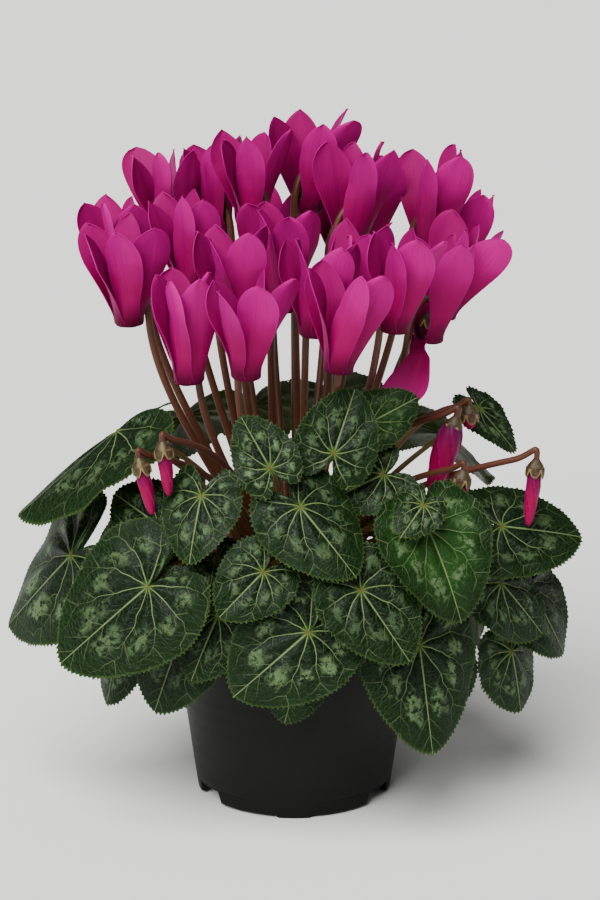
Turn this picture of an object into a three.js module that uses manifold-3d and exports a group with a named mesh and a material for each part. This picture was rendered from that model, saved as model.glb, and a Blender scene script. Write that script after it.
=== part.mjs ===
// A potted cyclamen: a tapered plastic pot with soil, a half-buried tuber, a mound of toothed
// heart-shaped leaves, and magenta blooms and buds on hooked stems.
// Millimetres, +Z up. The origin is where the pot's axis meets the surface it stands on, and -Y is
// the front. Azimuths are degrees about the pot's axis from +X, so the front is at -90.
import * as THREE from 'three';
import { mergeVertices } from 'three/addons/utils/BufferGeometryUtils.js';
import Module from 'manifold-3d';

const wasm = await Module();
wasm.setup();

// Pot
const POT_HEIGHT = 115;
const POT_BASE_RADIUS = 49.4;
const POT_WALL_TOP_RADIUS = 63.6;
const POT_WALL = 1.8;
const RIM_RADIUS = 66;
const RIM_DEPTH = 10.5;
const FLOOR_BOTTOM = 8;
const FLOOR_TOP = 10;
const FOOT_HEIGHT = 1.5;
const FOOT_HALF_ANGLE = 10;
const NOTCH_HEIGHT = 7.5;
const NOTCH_HALF_ANGLE = 11;
const DRAIN_RADIUS = 5;
const DRAIN_REACH = 28;
const POT_SIDES = 32;

// Soil and tuber
const SOIL_TOP = 103;
const SEAT_GAP = 0.3;
const TUBER_RADIUS = 38;
const TUBER_TOP = 108;
const TUBER_BOTTOM = 80;
const TUBER_SIDES = POT_SIDES / 2;

// Leaves
const BLADE_THICKNESS = 0.9;
const PETIOLE_RADIUS = 1.6;
const ROOT_RADIUS = 3;
const ROOT_HEIGHT = 4;
const BLADE_CLEARANCE = 4;
const STALK_CLEARANCE = 4.2;
const PETIOLE_CLEARANCE = 4.2;
const SAMPLE_STEP = 4.2;
const STALK_STEP = 3;
const OVER_RIM = 134;

// Blooms and stems
const PETAL_LENGTH = 48;
const PETAL_HALF_WIDTH = 10;
const PETAL_THICKNESS = 0.8;
const PETAL_BEARINGS = [62, 122, 181, 241, 304];
const HANGING_PETAL = { bloom: 6, petal: 0, flare: 16, drop: 0.6, reach: 6 };
const TUBE_HEIGHT = 9;
const MOUTH_RADIUS = 6.8;
const STEM_RADIUS = 1.9;
const HOOK_REACH = 10.5;
const HOOK_BENDS = 3;
const CALYX_DEPTH = 4.4;
const BLOOM_CLEARANCE = 4.6;

// Leaves in front, as the picture of the plant shows them, two to a node:
// azimuth, reach and height of the junction, the way the blade faces, its tilt from level, the
// turn of its tip from straight downhill, the midrib's length and the fold of its two halves.
const FRONT_LEAVES = [
  [-98, 78, 190, -92, 72, -150, 28, 0.1],
  [-82, 74, 196, -85, 80, 157, 33, 0.1],
  [-119, 84, 172, -112, 56, 0, 33, -0.05],
  [-110, 84, 143, -90, 50, 17, 24, 0.1],
  [-89, 80, 167, -82, 62, 36, 42, -0.1],
  [-101, 86, 138, -80, 60, -48, 30, 0.2],
  [-137, 98, 162, -125, 60, -110, 34, 0.05],
  [-135, 111, 134, -118, 66, -45, 59, 0],
  [-158, 84, 183, -175, 34, 0, 64, -0.2],
  [-160, 117, 135, -145, 66, -42, 62, -0.15],
  [-123, 102, 133, -110, 60, 74, 20, 0.1],
  [-113, 93, 119, -104, 66, -20, 34, 0],
  [-129, 93, 105, -118, 76, -18, 41, 0],
  [-151, 100, 91, -140, 80, -7, 31, -0.1],
  [-86, 98, 115, -88, 74, -49, 47, 0],
  [-88, 92, 96, -90, 80, -15, 30, 0],
  [-72, 103, 136, -80, 62, 32, 41, 0.1],
  [-54, 103, 103, -66, 74, 3, 53, 0],
  [-50, 97, 157, -66, 58, 13, 46, 0.2],
  [-55, 97, 167, -80, 48, -41, 20, 0.1],
  [-28, 107, 121, -50, 66, 36, 37, -0.1],
  [-38, 100, 92, -50, 80, 0, 32, 0],
  [-16, 107, 147, -60, 50, 78, 45, -0.1],
  [8, 86, 185, -40, 42, 10, 28, 0],
  [-10, 120, 115, -38, 66, 24, 42, -0.1],
  [-20, 115, 85, -50, 82, 13, 34, -0.2],
  [-51, 79, 184, -75, 52, -68, 29, 0.05],
  [-48, 62, 204, -75, 62, 116, 26, 0],
];

// Leaves behind, by rings: number, first azimuth, step, reach, height, tilt, midrib length.
const BACK_RINGS = [
  [6, 16, 29, 94, 94, 78, 40],
  [8, 0, 24, 92, 130, 58, 42],
  [6, 15, 30, 82, 182, 42, 42],
];

// Blooms: the mouth's place across, in depth and up, the bloom's lean and the azimuth it leans
// to, and the flare of its petals.
const BLOOMS = [
  [-80, -26, 250, 3, 180, 12],
  [-50, -62, 230, 3, -150, 9],
  [-22, -74, 234, 3, -60, 14],
  [21, -73, 238, 8, 0, 9],
  [10, -43, 248, 3, 60, 9],
  [48, -50, 252, 5, 10, 9],
  [66, -23, 241, 6, 0, 9],
  [74, 10, 246, 20, 10, 9],
  [-50, -8, 262, 5, 170, 10],
  [-30, -37, 249, 2, 100, 9],
  [29, -14, 248, 3, 20, 8],
  [-6, -6, 252, 2, 90, 10],
  [-62, 37, 275, 6, 140, 11],
  [-84, 13, 256, 4, 175, 12],
  [-20, 23, 288, 3, 120, 11],
  [7, 48, 291, 0, 90, 13],
  [28, 20, 278, 4, -30, 10],
  [38, 62, 270, 4, 40, 10],
  [67, 43, 269, 4, 20, 10],
  [80, 75, 250, 9, 30, 11],
  [-38, 60, 274, 6, 130, 11],
  [-12, 80, 247, 6, 90, 9],
  [22, 80, 246, 3, 80, 9],
];

// Buds: the calyx's place, the way its petals point down, as a lean across and in depth, the
// petals' length and greatest radius, and how far behind the calyx the stem rises.
const BUDS = [
  [-73, -80, 194, 12, 0, 24, 3.4, 9],
  [-62, -80, 202, 6, 0, 22, 3.4, 9],
  [79, -30, 201, -17, 0, 36, 6.5, 11],
  [87, -12, 202, 2, 0, 7, 3.6, 8],
  [82, -52, 180, -8, 0, 28, 3.4, 9],
  [118, -44, 183, -6, 0, 29, 3.6, 12],
];

const COLOURS = {
  pot: '#202020',
  soil: '#2b1f17',
  stems: '#6e3d2c',
  bloom: '#c4088a',
  bud: '#c00f86',
  leaf: '#2c4f2b',
};

const radians = (degrees) => (degrees * Math.PI) / 180;
const add = (a, b) => [a[0] + b[0], a[1] + b[1], a[2] + b[2]];
const scaled = (a, k) => [a[0] * k, a[1] * k, a[2] * k];
const along = (a, b, k) => [a[0] + b[0] * k, a[1] + b[1] * k, a[2] + b[2] * k];
const cross = (a, b) => [
  a[1] * b[2] - a[2] * b[1],
  a[2] * b[0] - a[0] * b[2],
  a[0] * b[1] - a[1] * b[0],
];
const dot = (a, b) => a[0] * b[0] + a[1] * b[1] + a[2] * b[2];
const size = (a) => Math.hypot(a[0], a[1], a[2]);
const unit = (a) => scaled(a, 1 / size(a));
const radial = (azimuth) => [Math.cos(radians(azimuth)), Math.sin(radians(azimuth)), 0];
const UP = [0, 0, 1];

// The same two numbers always draw the same fraction between 0 and 1.
function draw(item, trait) {
  const wave = Math.sin(item * 12.9898 + trait * 78.233) * 43758.5453;
  return wave - Math.floor(wave);
}

function spread(item, trait, reach) {
  return (draw(item, trait) * 2 - 1) * reach;
}

function meshGeometry(points, triangles) {
  const geometry = new THREE.BufferGeometry();
  geometry.setAttribute('position', new THREE.Float32BufferAttribute(points.flat(), 3));
  geometry.setIndex(triangles.flat());
  return geometry;
}

function solid(geometry) {
  const bare = geometry.clone();
  bare.deleteAttribute('normal');
  bare.deleteAttribute('uv');
  const merged = mergeVertices(bare, 1e-4);
  return new wasm.Manifold(new wasm.Mesh({
    numProp: 3,
    vertProperties: new Float32Array(merged.attributes.position.array),
    triVerts: new Uint32Array(merged.index.array),
  }));
}

function geometryOf(shape) {
  const result = shape.getMesh();
  const geometry = new THREE.BufferGeometry();
  geometry.setAttribute('position', new THREE.BufferAttribute(result.vertProperties, 3));
  geometry.setIndex(new THREE.BufferAttribute(result.triVerts, 1));
  return geometry;
}

function joined(shapes) {
  return shapes.reduce((whole, shape) => whole.add(shape));
}

// A profile of radius and height, turned about the Z axis.
function turned(profile, sides) {
  const outline = profile.map(([radius, height]) => new THREE.Vector2(radius, height));
  return new THREE.LatheGeometry(outline, sides).rotateX(Math.PI / 2);
}

// A ring sector about the Z axis between two radii and two heights.
function sector(centre, halfAngle, inner, outer, bottom, top) {
  const shape = new THREE.Shape();
  const from = radians(centre - halfAngle);
  const to = radians(centre + halfAngle);
  shape.absarc(0, 0, outer, from, to, false);
  shape.absarc(0, 0, inner, to, from, true);
  const options = { depth: top - bottom, bevelEnabled: false, curveSegments: 4 };
  return new THREE.ExtrudeGeometry(shape, options).translate(0, 0, bottom);
}

// Points of a cubic Bezier curve from its four control points.
function bezier(p0, p1, p2, p3, steps) {
  return Array.from({ length: steps + 1 }, (_, i) => {
    const t = i / steps;
    const s = 1 - t;
    const start = along(scaled(p0, s * s * s), p1, 3 * s * s * t);
    return along(along(start, p2, 3 * s * t * t), p3, t * t * t);
  });
}

// Points along a line of straight pieces, no further apart than the gap.
function dotted(line, gap) {
  return line.slice(1).flatMap((end, i) => {
    const start = line[i];
    const count = Math.ceil(size(along(end, start, -1)) / gap);
    return Array.from({ length: count }, (_, k) => (
      along(scaled(start, 1 - (k + 1) / count), end, (k + 1) / count)
    ));
  });
}

// Carries a vector square to one unit direction over to the next, without twisting it.
function carried(vector, from, to) {
  return unit(along(vector, add(from, to), -dot(to, vector) / (1 + dot(from, to))));
}

// A closed tube round a line of points, with its own radius at each.
function tube(points, radii, sides) {
  const last = points.length - 1;
  const vertices = [];
  const faces = [];
  let way = unit(along(points[1], points[0], -1));
  let side = unit(cross(way, Math.abs(way[2]) < 0.9 ? UP : [0, 1, 0]));
  points.forEach((point, i) => {
    const ahead = points[Math.min(i + 1, last)];
    const behind = points[Math.max(i - 1, 0)];
    const next = unit(along(ahead, behind, -1));
    side = carried(side, way, next);
    way = next;
    const other = cross(way, side);
    for (let k = 0; k < sides; k += 1) {
      const turn = (k / sides) * 2 * Math.PI;
      const spoke = along(scaled(side, Math.cos(turn)), other, Math.sin(turn));
      vertices.push(along(point, spoke, radii[i]));
    }
  });
  for (let i = 0; i < last; i += 1) {
    for (let k = 0; k < sides; k += 1) {
      const a = i * sides + k;
      const b = i * sides + ((k + 1) % sides);
      faces.push([a, b, b + sides], [a, b + sides, a + sides]);
    }
  }
  for (let k = 1; k < sides - 1; k += 1) {
    faces.push([0, k + 1, k]);
    faces.push([last * sides, last * sides + k, last * sides + k + 1]);
  }
  return meshGeometry(vertices, faces);
}

// A thin closed shell: one grid of points above and one below, with the same triangles.
function shell(upper, lower, faces, rim) {
  const count = upper.length;
  const under = faces.map(([a, b, c]) => [a + count, c + count, b + count]);
  const edge = rim.flatMap((a, i) => {
    const b = rim[(i + 1) % rim.length];
    return [[b, a, a + count], [b, a + count, b + count]];
  });
  return meshGeometry([...upper, ...lower], [...faces, ...under, ...edge]);
}

// Points already taken, kept by cells of space so that near ones are found quickly.
const CELL = 6;
const cellOf = (x, y, z) => ((x + 64) * 128 + y + 64) * 128 + z;

function takePoints(taken, points, owner) {
  for (const point of points) {
    const key = cellOf(...point.map((value) => Math.floor(value / CELL)));
    if (!taken.has(key)) {
      taken.set(key, []);
    }
    taken.get(key).push({ point, owner });
  }
}

// Whether every point keeps a distance from all the taken points but its own owner's.
function clear(points, taken, distance, owner = 'nobody') {
  const limit = distance * distance;
  return points.every(([x, y, z]) => {
    const [i, j, k] = [x, y, z].map((value) => Math.floor(value / CELL));
    for (let n = 0; n < 27; n += 1) {
      const key = cellOf(i + (n % 3) - 1, j + (Math.floor(n / 3) % 3) - 1, k + Math.floor(n / 9) - 1);
      for (const other of taken.get(key) ?? []) {
        const [a, b, c] = other.point;
        const apart = (a - x) * (a - x) + (b - y) * (b - y) + (c - z) * (c - z);
        if (apart < limit && other.owner !== owner) {
          return false;
        }
      }
    }
    return true;
  });
}

// Pot: a tapered wall with a proud rim, a raised floor with drain holes, and a skirt that stands
// on three feet with three drainage notches between them.
function makePot() {
  const wallInside = POT_WALL_TOP_RADIUS - POT_WALL;
  const profile = [
    [0, FLOOR_BOTTOM],
    [POT_BASE_RADIUS - POT_WALL - 0.4, FLOOR_BOTTOM],
    [POT_BASE_RADIUS - POT_WALL - 1, 0],
    [POT_BASE_RADIUS, 0],
    [POT_WALL_TOP_RADIUS, POT_HEIGHT - RIM_DEPTH - 1],
    [RIM_RADIUS - 0.6, POT_HEIGHT - RIM_DEPTH],
    [RIM_RADIUS, POT_HEIGHT],
    [RIM_RADIUS - POT_WALL - 0.4, POT_HEIGHT],
    [wallInside, POT_HEIGHT - RIM_DEPTH - 1],
    [insideRadius(FLOOR_TOP), FLOOR_TOP],
    [0, FLOOR_TOP],
  ];
  let pot = solid(turned(profile, POT_SIDES));
  for (const bearing of [-90, 30, 150]) {
    const lobe = 60 - NOTCH_HALF_ANGLE;
    const gap = (lobe - FOOT_HALF_ANGLE) / 2;
    for (const way of [-1, 1]) {
      const middle = bearing + way * (FOOT_HALF_ANGLE + gap);
      pot = pot.subtract(solid(sector(middle, gap + 0.5, 40, 60, -1, FOOT_HEIGHT)));
    }
    pot = pot.subtract(solid(sector(bearing + 60, NOTCH_HALF_ANGLE, 40, 60, -1, NOTCH_HEIGHT)));
    const drain = new THREE.CylinderGeometry(DRAIN_RADIUS, DRAIN_RADIUS, 6, 8).rotateX(Math.PI / 2);
    const place = scaled(radial(bearing + 60), DRAIN_REACH);
    drain.translate(place[0], place[1], (FLOOR_BOTTOM + FLOOR_TOP) / 2);
    pot = pot.subtract(solid(drain));
  }
  return geometryOf(pot);
}

function insideRadius(height) {
  const rise = height / (POT_HEIGHT - RIM_DEPTH - 1);
  return POT_BASE_RADIUS - POT_WALL + (POT_WALL_TOP_RADIUS - POT_BASE_RADIUS) * rise;
}

// The tuber's side, from its bottom to its flat top, as radius and height.
function tuberProfile() {
  const height = TUBER_TOP - TUBER_BOTTOM;
  return [
    [0, TUBER_BOTTOM],
    [TUBER_RADIUS * 0.66, TUBER_BOTTOM + height * 0.08],
    [TUBER_RADIUS * 0.93, TUBER_BOTTOM + height * 0.36],
    [TUBER_RADIUS, TUBER_BOTTOM + height * 0.64],
    [TUBER_RADIUS * 0.98, TUBER_TOP - 2],
    [TUBER_RADIUS * 0.92, TUBER_TOP],
    [0, TUBER_TOP],
  ];
}

// Soil fills the pot to just under its rim, with a hollow that the tuber sits in.
function makeSoil() {
  const edge = (height) => insideRadius(height) - SEAT_GAP;
  const [bottom, low, waist, belly] = tuberProfile();
  const profile = [
    [0, FLOOR_TOP + SEAT_GAP],
    [edge(FLOOR_TOP + SEAT_GAP), FLOOR_TOP + SEAT_GAP],
    [edge(SOIL_TOP), SOIL_TOP - 1.5],
    [(edge(SOIL_TOP) + TUBER_RADIUS) / 2, SOIL_TOP],
    [belly[0] + SEAT_GAP, SOIL_TOP - 1],
    [belly[0] + SEAT_GAP, belly[1] - SEAT_GAP],
    [waist[0] + SEAT_GAP * 0.7, waist[1] - SEAT_GAP],
    [low[0] + SEAT_GAP * 0.7, low[1] - SEAT_GAP],
    [0, bottom[1] - SEAT_GAP],
  ];
  return turned(profile, TUBER_SIDES);
}

// Heart-shaped outline: distance from the junction, in midrib lengths, at an angle from the tip.
function outlineReach(angle) {
  const away = Math.abs(angle);
  const body = 0.62 - 0.03 * (1 - Math.cos(away));
  const point = 0.38 * Math.exp(-Math.pow(away / 0.62, 1.5));
  const sinus = 1 - 0.88 * Math.exp(-Math.pow((Math.PI - away) / 0.36, 2));
  return (body + point) * sinus;
}

// A point of a blade: forward and sideways in midrib lengths, bent by its droop and fold.
function bladePoint(leaf, forward, sideways) {
  const ahead = Math.max(0, forward);
  const rise = leaf.fold * Math.abs(sideways)
    - leaf.droop * ahead * ahead - leaf.curl * sideways * sideways;
  const inPlane = along(scaled(leaf.tipWay, forward), leaf.sideWay, sideways * leaf.width);
  return along(leaf.junction, along(inPlane, leaf.normal, rise), leaf.midrib);
}

// A leaf from one row of its driving sizes, with small differences drawn for it.
function makeLeaf(row, item) {
  const [azimuth, reach, height, face, tilt, turn, midrib, fold] = row;
  return {
    azimuth,
    reach,
    height,
    face,
    tilt,
    turn,
    midrib,
    fold,
    width: 1 + spread(item, 1, 0.08),
    droop: 0.06 + draw(item, 2) * 0.14,
    curl: 0.1 + draw(item, 3) * 0.2,
  };
}

// Stands a leaf at its place, moved by degrees round the plant, by degrees of tilt and by
// millimetres along its own normal.
function standLeaf(leaf, round, tip, lift) {
  const facing = radial(leaf.face + round);
  const lean = radians(leaf.tilt + tip);
  const turn = radians(leaf.turn);
  const downhill = along(scaled(facing, Math.cos(lean)), UP, -Math.sin(lean));
  leaf.normal = along(scaled(facing, Math.sin(lean)), UP, Math.cos(lean));
  const level = cross(leaf.normal, downhill);
  leaf.tipWay = along(scaled(downhill, Math.cos(turn)), level, Math.sin(turn));
  leaf.sideWay = cross(leaf.normal, leaf.tipWay);
  const stand = along(scaled(radial(leaf.azimuth + round), leaf.reach), UP, leaf.height);
  leaf.junction = along(stand, leaf.normal, lift);
}

// Sample points over a blade, on rings about its junction.
function bladeSamples(leaf) {
  const points = [leaf.junction];
  const rings = Math.ceil((leaf.midrib * 0.8) / SAMPLE_STEP);
  for (let ring = 1; ring <= rings; ring += 1) {
    const count = ring * 6;
    for (let k = 0; k < count; k += 1) {
      const angle = ((k + 0.5) / count) * 2 * Math.PI - Math.PI;
      const reach = outlineReach(angle) * (ring / rings);
      points.push(bladePoint(leaf, reach * Math.cos(angle), reach * Math.sin(angle)));
    }
  }
  return points;
}

// A petiole rises from its root on the tuber and arches over to come up behind the junction.
function petiolePath(leaf, way, steps) {
  const { root, junction, normal, tipWay } = leaf;
  const [slant, low, high] = way;
  const length = size(along(junction, root, -1));
  const outward = radial(leaf.azimuth);
  const sideways = cross(UP, outward);
  const first = along(along(root, UP, 6 + length * 0.3), outward, length * 0.02);
  const arrival = unit(along(scaled(normal, Math.cos(slant)), tipWay, Math.sin(slant)));
  const second = along(junction, arrival, -length * 0.34);
  const bent = along(second, UP, Math.max(0, OVER_RIM - second[2]));
  const end = along(junction, normal, -BLADE_THICKNESS * 0.2);
  return bezier(root, along(first, sideways, low), along(bent, sideways, high), end, steps);
}

function petioleSamples(leaf, way) {
  return dotted(petiolePath(leaf, way, 3), STALK_STEP).slice(0, -2);
}

// The ways that a petiole may take, in order: its slant towards the tip where it meets the blade,
// in radians, and its bows sideways near its root and near the blade in millimetres.
const BOWS = [0, 7, -7, 14, -14];
const PETIOLE_WAYS = [0.6, 0.1, 1.1].flatMap((slant) => (
  BOWS.flatMap((high) => BOWS.map((low) => [slant, low, high]))
)).sort((a, b) => Math.abs(a[1]) + Math.abs(a[2]) - Math.abs(b[1]) - Math.abs(b[2]));

// The places that a leaf may take, in order: degrees round the plant, degrees of tilt and
// millimetres along its normal.
const LIFTS = [0, 1.5, -1.5, 3, -3, 4.5, -4.5, 6, -6, 7.5, 9, 10.5, 12, 14, 16];
const PLACES = [0, -8, 8].flatMap((tip) => (
  LIFTS.flatMap((lift) => [0, 3, -3, 6, -6].map((round) => [round, tip, lift]))
));

// Finds each leaf its place, from the lowest up: its blade is tried in each place until it clears
// every blade and stalk placed before it and its petiole can be bowed clear as well. A leaf that
// finds no such place takes the first where its blade is clear.
function placeLeaves(leaves, stalks) {
  const blades = new Map();
  const order = [...leaves].sort((a, b) => a.height - b.height);
  for (const leaf of order) {
    const findWay = () => PETIOLE_WAYS.find((way) => {
      const path = petioleSamples(leaf, way);
      return clear(path, blades, STALK_CLEARANCE)
        && clear(path, stalks, PETIOLE_CLEARANCE, leaf.twin);
    });
    const openPlaces = PLACES.filter(([round, tip, lift]) => {
      standLeaf(leaf, round, tip, lift);
      const samples = bladeSamples(leaf);
      return clear(samples, blades, BLADE_CLEARANCE) && clear(samples, stalks, STALK_CLEARANCE);
    });
    const place = openPlaces.find(([round, tip, lift]) => {
      standLeaf(leaf, round, tip, lift);
      leaf.way = findWay();
      return leaf.way !== undefined;
    });
    if (!place) {
      standLeaf(leaf, ...(openPlaces[0] ?? PLACES[0]));
      leaf.way = PETIOLE_WAYS[0];
    }
    takePoints(blades, bladeSamples(leaf));
    takePoints(stalks, petioleSamples(leaf, leaf.way), leaf.twin);
  }
}

// Rows for the leaves behind, ring by ring.
function backLeafRows() {
  const rows = [];
  for (const [count, first, step, reach, height, tilt, midrib] of BACK_RINGS) {
    for (let k = 0; k < count; k += 1) {
      const item = rows.length + 100;
      const azimuth = first + step * k + spread(item, 4, 3);
      rows.push([
        azimuth,
        reach + spread(item, 5, 3),
        height + spread(item, 6, 4),
        azimuth + spread(item, 7, 14),
        tilt + spread(item, 8, 6),
        spread(item, 9, 34),
        midrib * (1 + spread(item, 10, 0.16)),
        spread(item, 11, 0.18),
      ]);
    }
  }
  return rows;
}

// One leaf as a closed shell: the blade's two faces have the same triangles, its outline steps in
// and out as teeth, and its petiole grows from four points of the underside about the junction.
const TEETH_A_SIDE = 5;
const MIDRIB = [[0.72, 0], [0.36, 0], [0, 0]];
const HUB = 2;
function leafSolid(leaf) {
  const steps = TEETH_A_SIDE * 2;
  const oneSide = Array.from({ length: steps + 1 }, (_, k) => (
    Math.PI * 0.96 * Math.pow(k / steps, 0.9)
  ));
  const angles = [...oneSide, Math.PI, ...oneSide.slice(1).reverse().map((angle) => -angle)];
  const outline = angles.map((angle, k) => {
    const tooth = k % 2 === 1 && k !== steps + 1 ? 0.93 : 1;
    const reach = outlineReach(angle) * tooth;
    return [reach * Math.cos(angle), reach * Math.sin(angle)];
  });
  const count = outline.length;
  const middle = [...MIDRIB, ...outline].map(([x, y]) => bladePoint(leaf, x, y));
  const vertices = [
    ...middle.map((p) => along(p, leaf.normal, BLADE_THICKNESS / 2)),
    ...middle.map((p) => along(p, leaf.normal, -BLADE_THICKNESS / 2)),
  ];
  const under = middle.length;
  const faces = [];
  const both = (a, b, c) => faces.push([a, b, c], [a + under, c + under, b + under]);
  for (let k = 0; k < count; k += 1) {
    const a = k + 3;
    const b = ((k + 1) % count) + 3;
    const near = [0, 0, 1, 1][Math.min(k, count - 1 - k)];
    if (near !== undefined) {
      both(near, a, b);
    }
    faces.push([b, a, a + under], [b, a + under, b + under]);
  }
  both(0, 5, 1);
  both(0, 1, count + 1);
  const link = [1, ...Array.from({ length: count - 7 }, (_, k) => k + 7)];
  const rings = petioleRings(leaf);
  const ring = (i, q) => vertices.length - rings.length * 4 + i * 4 + (q % 4);
  rings.flat().forEach((point) => vertices.push(point));
  link.forEach((a, i) => {
    const b = link[(i + 1) % link.length];
    const q = Math.floor((i * 4) / link.length);
    faces.push([HUB, a, b], [ring(0, q), b + under, a + under]);
    if ((i * 4) % link.length === 0) {
      faces.push([ring(0, q + 3), ring(0, q), a + under]);
    }
  });
  for (let i = 0; i < rings.length - 1; i += 1) {
    for (let q = 0; q < 4; q += 1) {
      faces.push([ring(i, q), ring(i + 1, q), ring(i + 1, q + 1)]);
      faces.push([ring(i, q), ring(i + 1, q + 1), ring(i, q + 1)]);
    }
  }
  const end = rings.length - 1;
  faces.push([ring(end, 0), ring(end, 3), ring(end, 2)], [ring(end, 0), ring(end, 2), ring(end, 1)]);
  const used = [...new Set(faces.flat())].sort((a, b) => a - b);
  const order = new Map(used.map((vertex, i) => [vertex, i]));
  return solid(meshGeometry(
    used.map((vertex) => vertices[vertex]),
    faces.map((face) => face.map((vertex) => order.get(vertex))),
  ));
}

// Rings of four points down the petiole, from under the blade to the root.
function petioleRings(leaf) {
  const path = petiolePath(leaf, leaf.way, 3).reverse();
  let way = leaf.normal;
  let side = leaf.tipWay;
  return path.map((point, i) => {
    const ahead = path[Math.min(i + 1, path.length - 1)];
    const behind = path[Math.max(i - 1, 0)];
    const next = unit(along(behind, ahead, -1));
    side = carried(side, way, next);
    way = next;
    const other = cross(way, side);
    const radius = PETIOLE_RADIUS * (0.9 + 0.09 * i);
    return [1, 3, 5, 7].map((eighth) => {
      const turn = (eighth / 4) * Math.PI;
      if (i === 0) {
        const spot = bladePoint(leaf, 0, 0);
        const inPlane = along(scaled(leaf.tipWay, Math.cos(turn)), leaf.sideWay, Math.sin(turn));
        return along(along(spot, inPlane, radius), leaf.normal, -BLADE_THICKNESS);
      }
      const spoke = along(scaled(side, Math.cos(turn)), other, Math.sin(turn));
      return along(point, spoke, radius);
    });
  });
}

// Two neighbouring leaves and the root that their petioles share.
function makeLeafPair(pair) {
  const foot = pair[0].foot;
  const root = tube([foot, along(foot, UP, ROOT_HEIGHT)], [ROOT_RADIUS, ROOT_RADIUS * 0.8], 5);
  return geometryOf(joined([solid(root), ...pair.map(leafSolid)]));
}

// Gives the leaves of each pair one foot on the tuber, nearer its edge for low leaves, and moves
// the foot round the tuber until it clears the feet before it.
const FOOT_TURNS = [0, 5, -5, 10, -10, 15, -15, 20, -20, 26, -26, 32, -32, 40, -40];
function placeFeet(pairs) {
  const feet = [];
  pairs.forEach((pair, twin) => {
    const height = pair.reduce((sum, leaf) => sum + leaf.height, 0) / pair.length;
    const middle = pair.map((leaf) => radial(leaf.azimuth)).reduce(add);
    const bearing = (Math.atan2(middle[1], middle[0]) * 180) / Math.PI;
    const reach = 21 + (200 - height) * 0.1;
    const stands = FOOT_TURNS.map((turn) => scaled(radial(bearing + turn), reach));
    const stand = stands.find((spot) => (
      feet.every((other) => size(along(spot, other, -1)) > ROOT_RADIUS * 2.15)
    )) ?? stands[0];
    feet.push(stand);
    const foot = along(stand, UP, TUBER_TOP + SEAT_GAP);
    const side = cross(UP, unit(stand));
    pair.forEach((leaf, k) => {
      const apart = radial(leaf.azimuth);
      const way = Math.sign(side[0] * apart[0] + side[1] * apart[1]) || 1;
      leaf.foot = foot;
      leaf.twin = twin;
      leaf.root = along(along(foot, side, way * 1.6), UP, 1.5 + k * 0.4);
    });
  });
}

// A bloom's frame: its axis leans outward, and its stem rises on the side of the plant's middle.
function makeBloom(row, item) {
  const [x, y, z, lean, leanWay, flare] = row;
  const azimuth = (Math.atan2(y, x) * 180) / Math.PI;
  const axis = along(scaled(radial(leanWay), Math.sin(radians(lean))), UP, Math.cos(radians(lean)));
  const level = unit(cross(radial(azimuth), axis));
  return {
    azimuth,
    mouth: [x, y, z],
    axis,
    inner: cross(level, axis),
    level,
    flare,
    spin: spread(item, 21, 30),
    item,
    length: PETAL_LENGTH * (1 + spread(item, 22, 0.06)),
  };
}

// A unit vector square to the bloom's axis, at a bearing from its stem's side.
function around(bloom, bearing) {
  const turn = radians(bearing + bloom.spin);
  return along(scaled(bloom.inner, Math.cos(turn)), bloom.level, Math.sin(turn));
}

// A petal's point at a share of its length and of its half width. The petal leaves the mouth's
// rim, turns up, widens, flares, twists about its own length and ends in a blunt point. One petal
// of the plant hangs down from its mouth instead.
function petalPoint(bloom, k, t, s) {
  const draws = bloom.item * 5 + k;
  const bearing = PETAL_BEARINGS[k] + spread(draws, 23, 3);
  const out = around(bloom, bearing);
  const side = cross(bloom.axis, out);
  const hangs = bloom.item === HANGING_PETAL.bloom && k === HANGING_PETAL.petal;
  const flare = Math.tan(radians(hangs ? HANGING_PETAL.flare : bloom.flare + spread(draws, 24, 5)));
  const sway = spread(draws, 25, 0.11);
  const twist = radians(hangs ? 0 : 42 + spread(draws, 26, 10)) * Math.min(1, t * 1.6);
  const width = 0.3 * (1 - t) ** 2 + 1.62 * Math.pow(t, 1.15) * Math.pow(1 - Math.pow(t, 3.4), 0.62);
  const half = PETAL_HALF_WIDTH * width * s;
  const length = bloom.length * (1 + spread(draws, 27, 0.05));
  const swell = (hangs ? HANGING_PETAL.reach : 3.2) * (1 - Math.exp(-t * 8));
  const radius = 4.6 + swell + flare * length * 1.15 * Math.pow(t, 1.6);
  const spine = add(
    along(bloom.mouth, bloom.axis, 0.8 + length * t * (hangs ? -HANGING_PETAL.drop : 1)),
    along(scaled(out, radius), side, sway * length * t * t),
  );
  const face = hangs ? -1 : 1;
  const across = along(scaled(side, Math.cos(twist)), out, Math.sin(twist));
  const normal = along(scaled(out, face * Math.cos(twist)), side, -Math.sin(twist));
  const cup = -0.16 * half * s;
  return { point: along(along(spine, across, half), normal, cup), normal };
}

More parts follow.
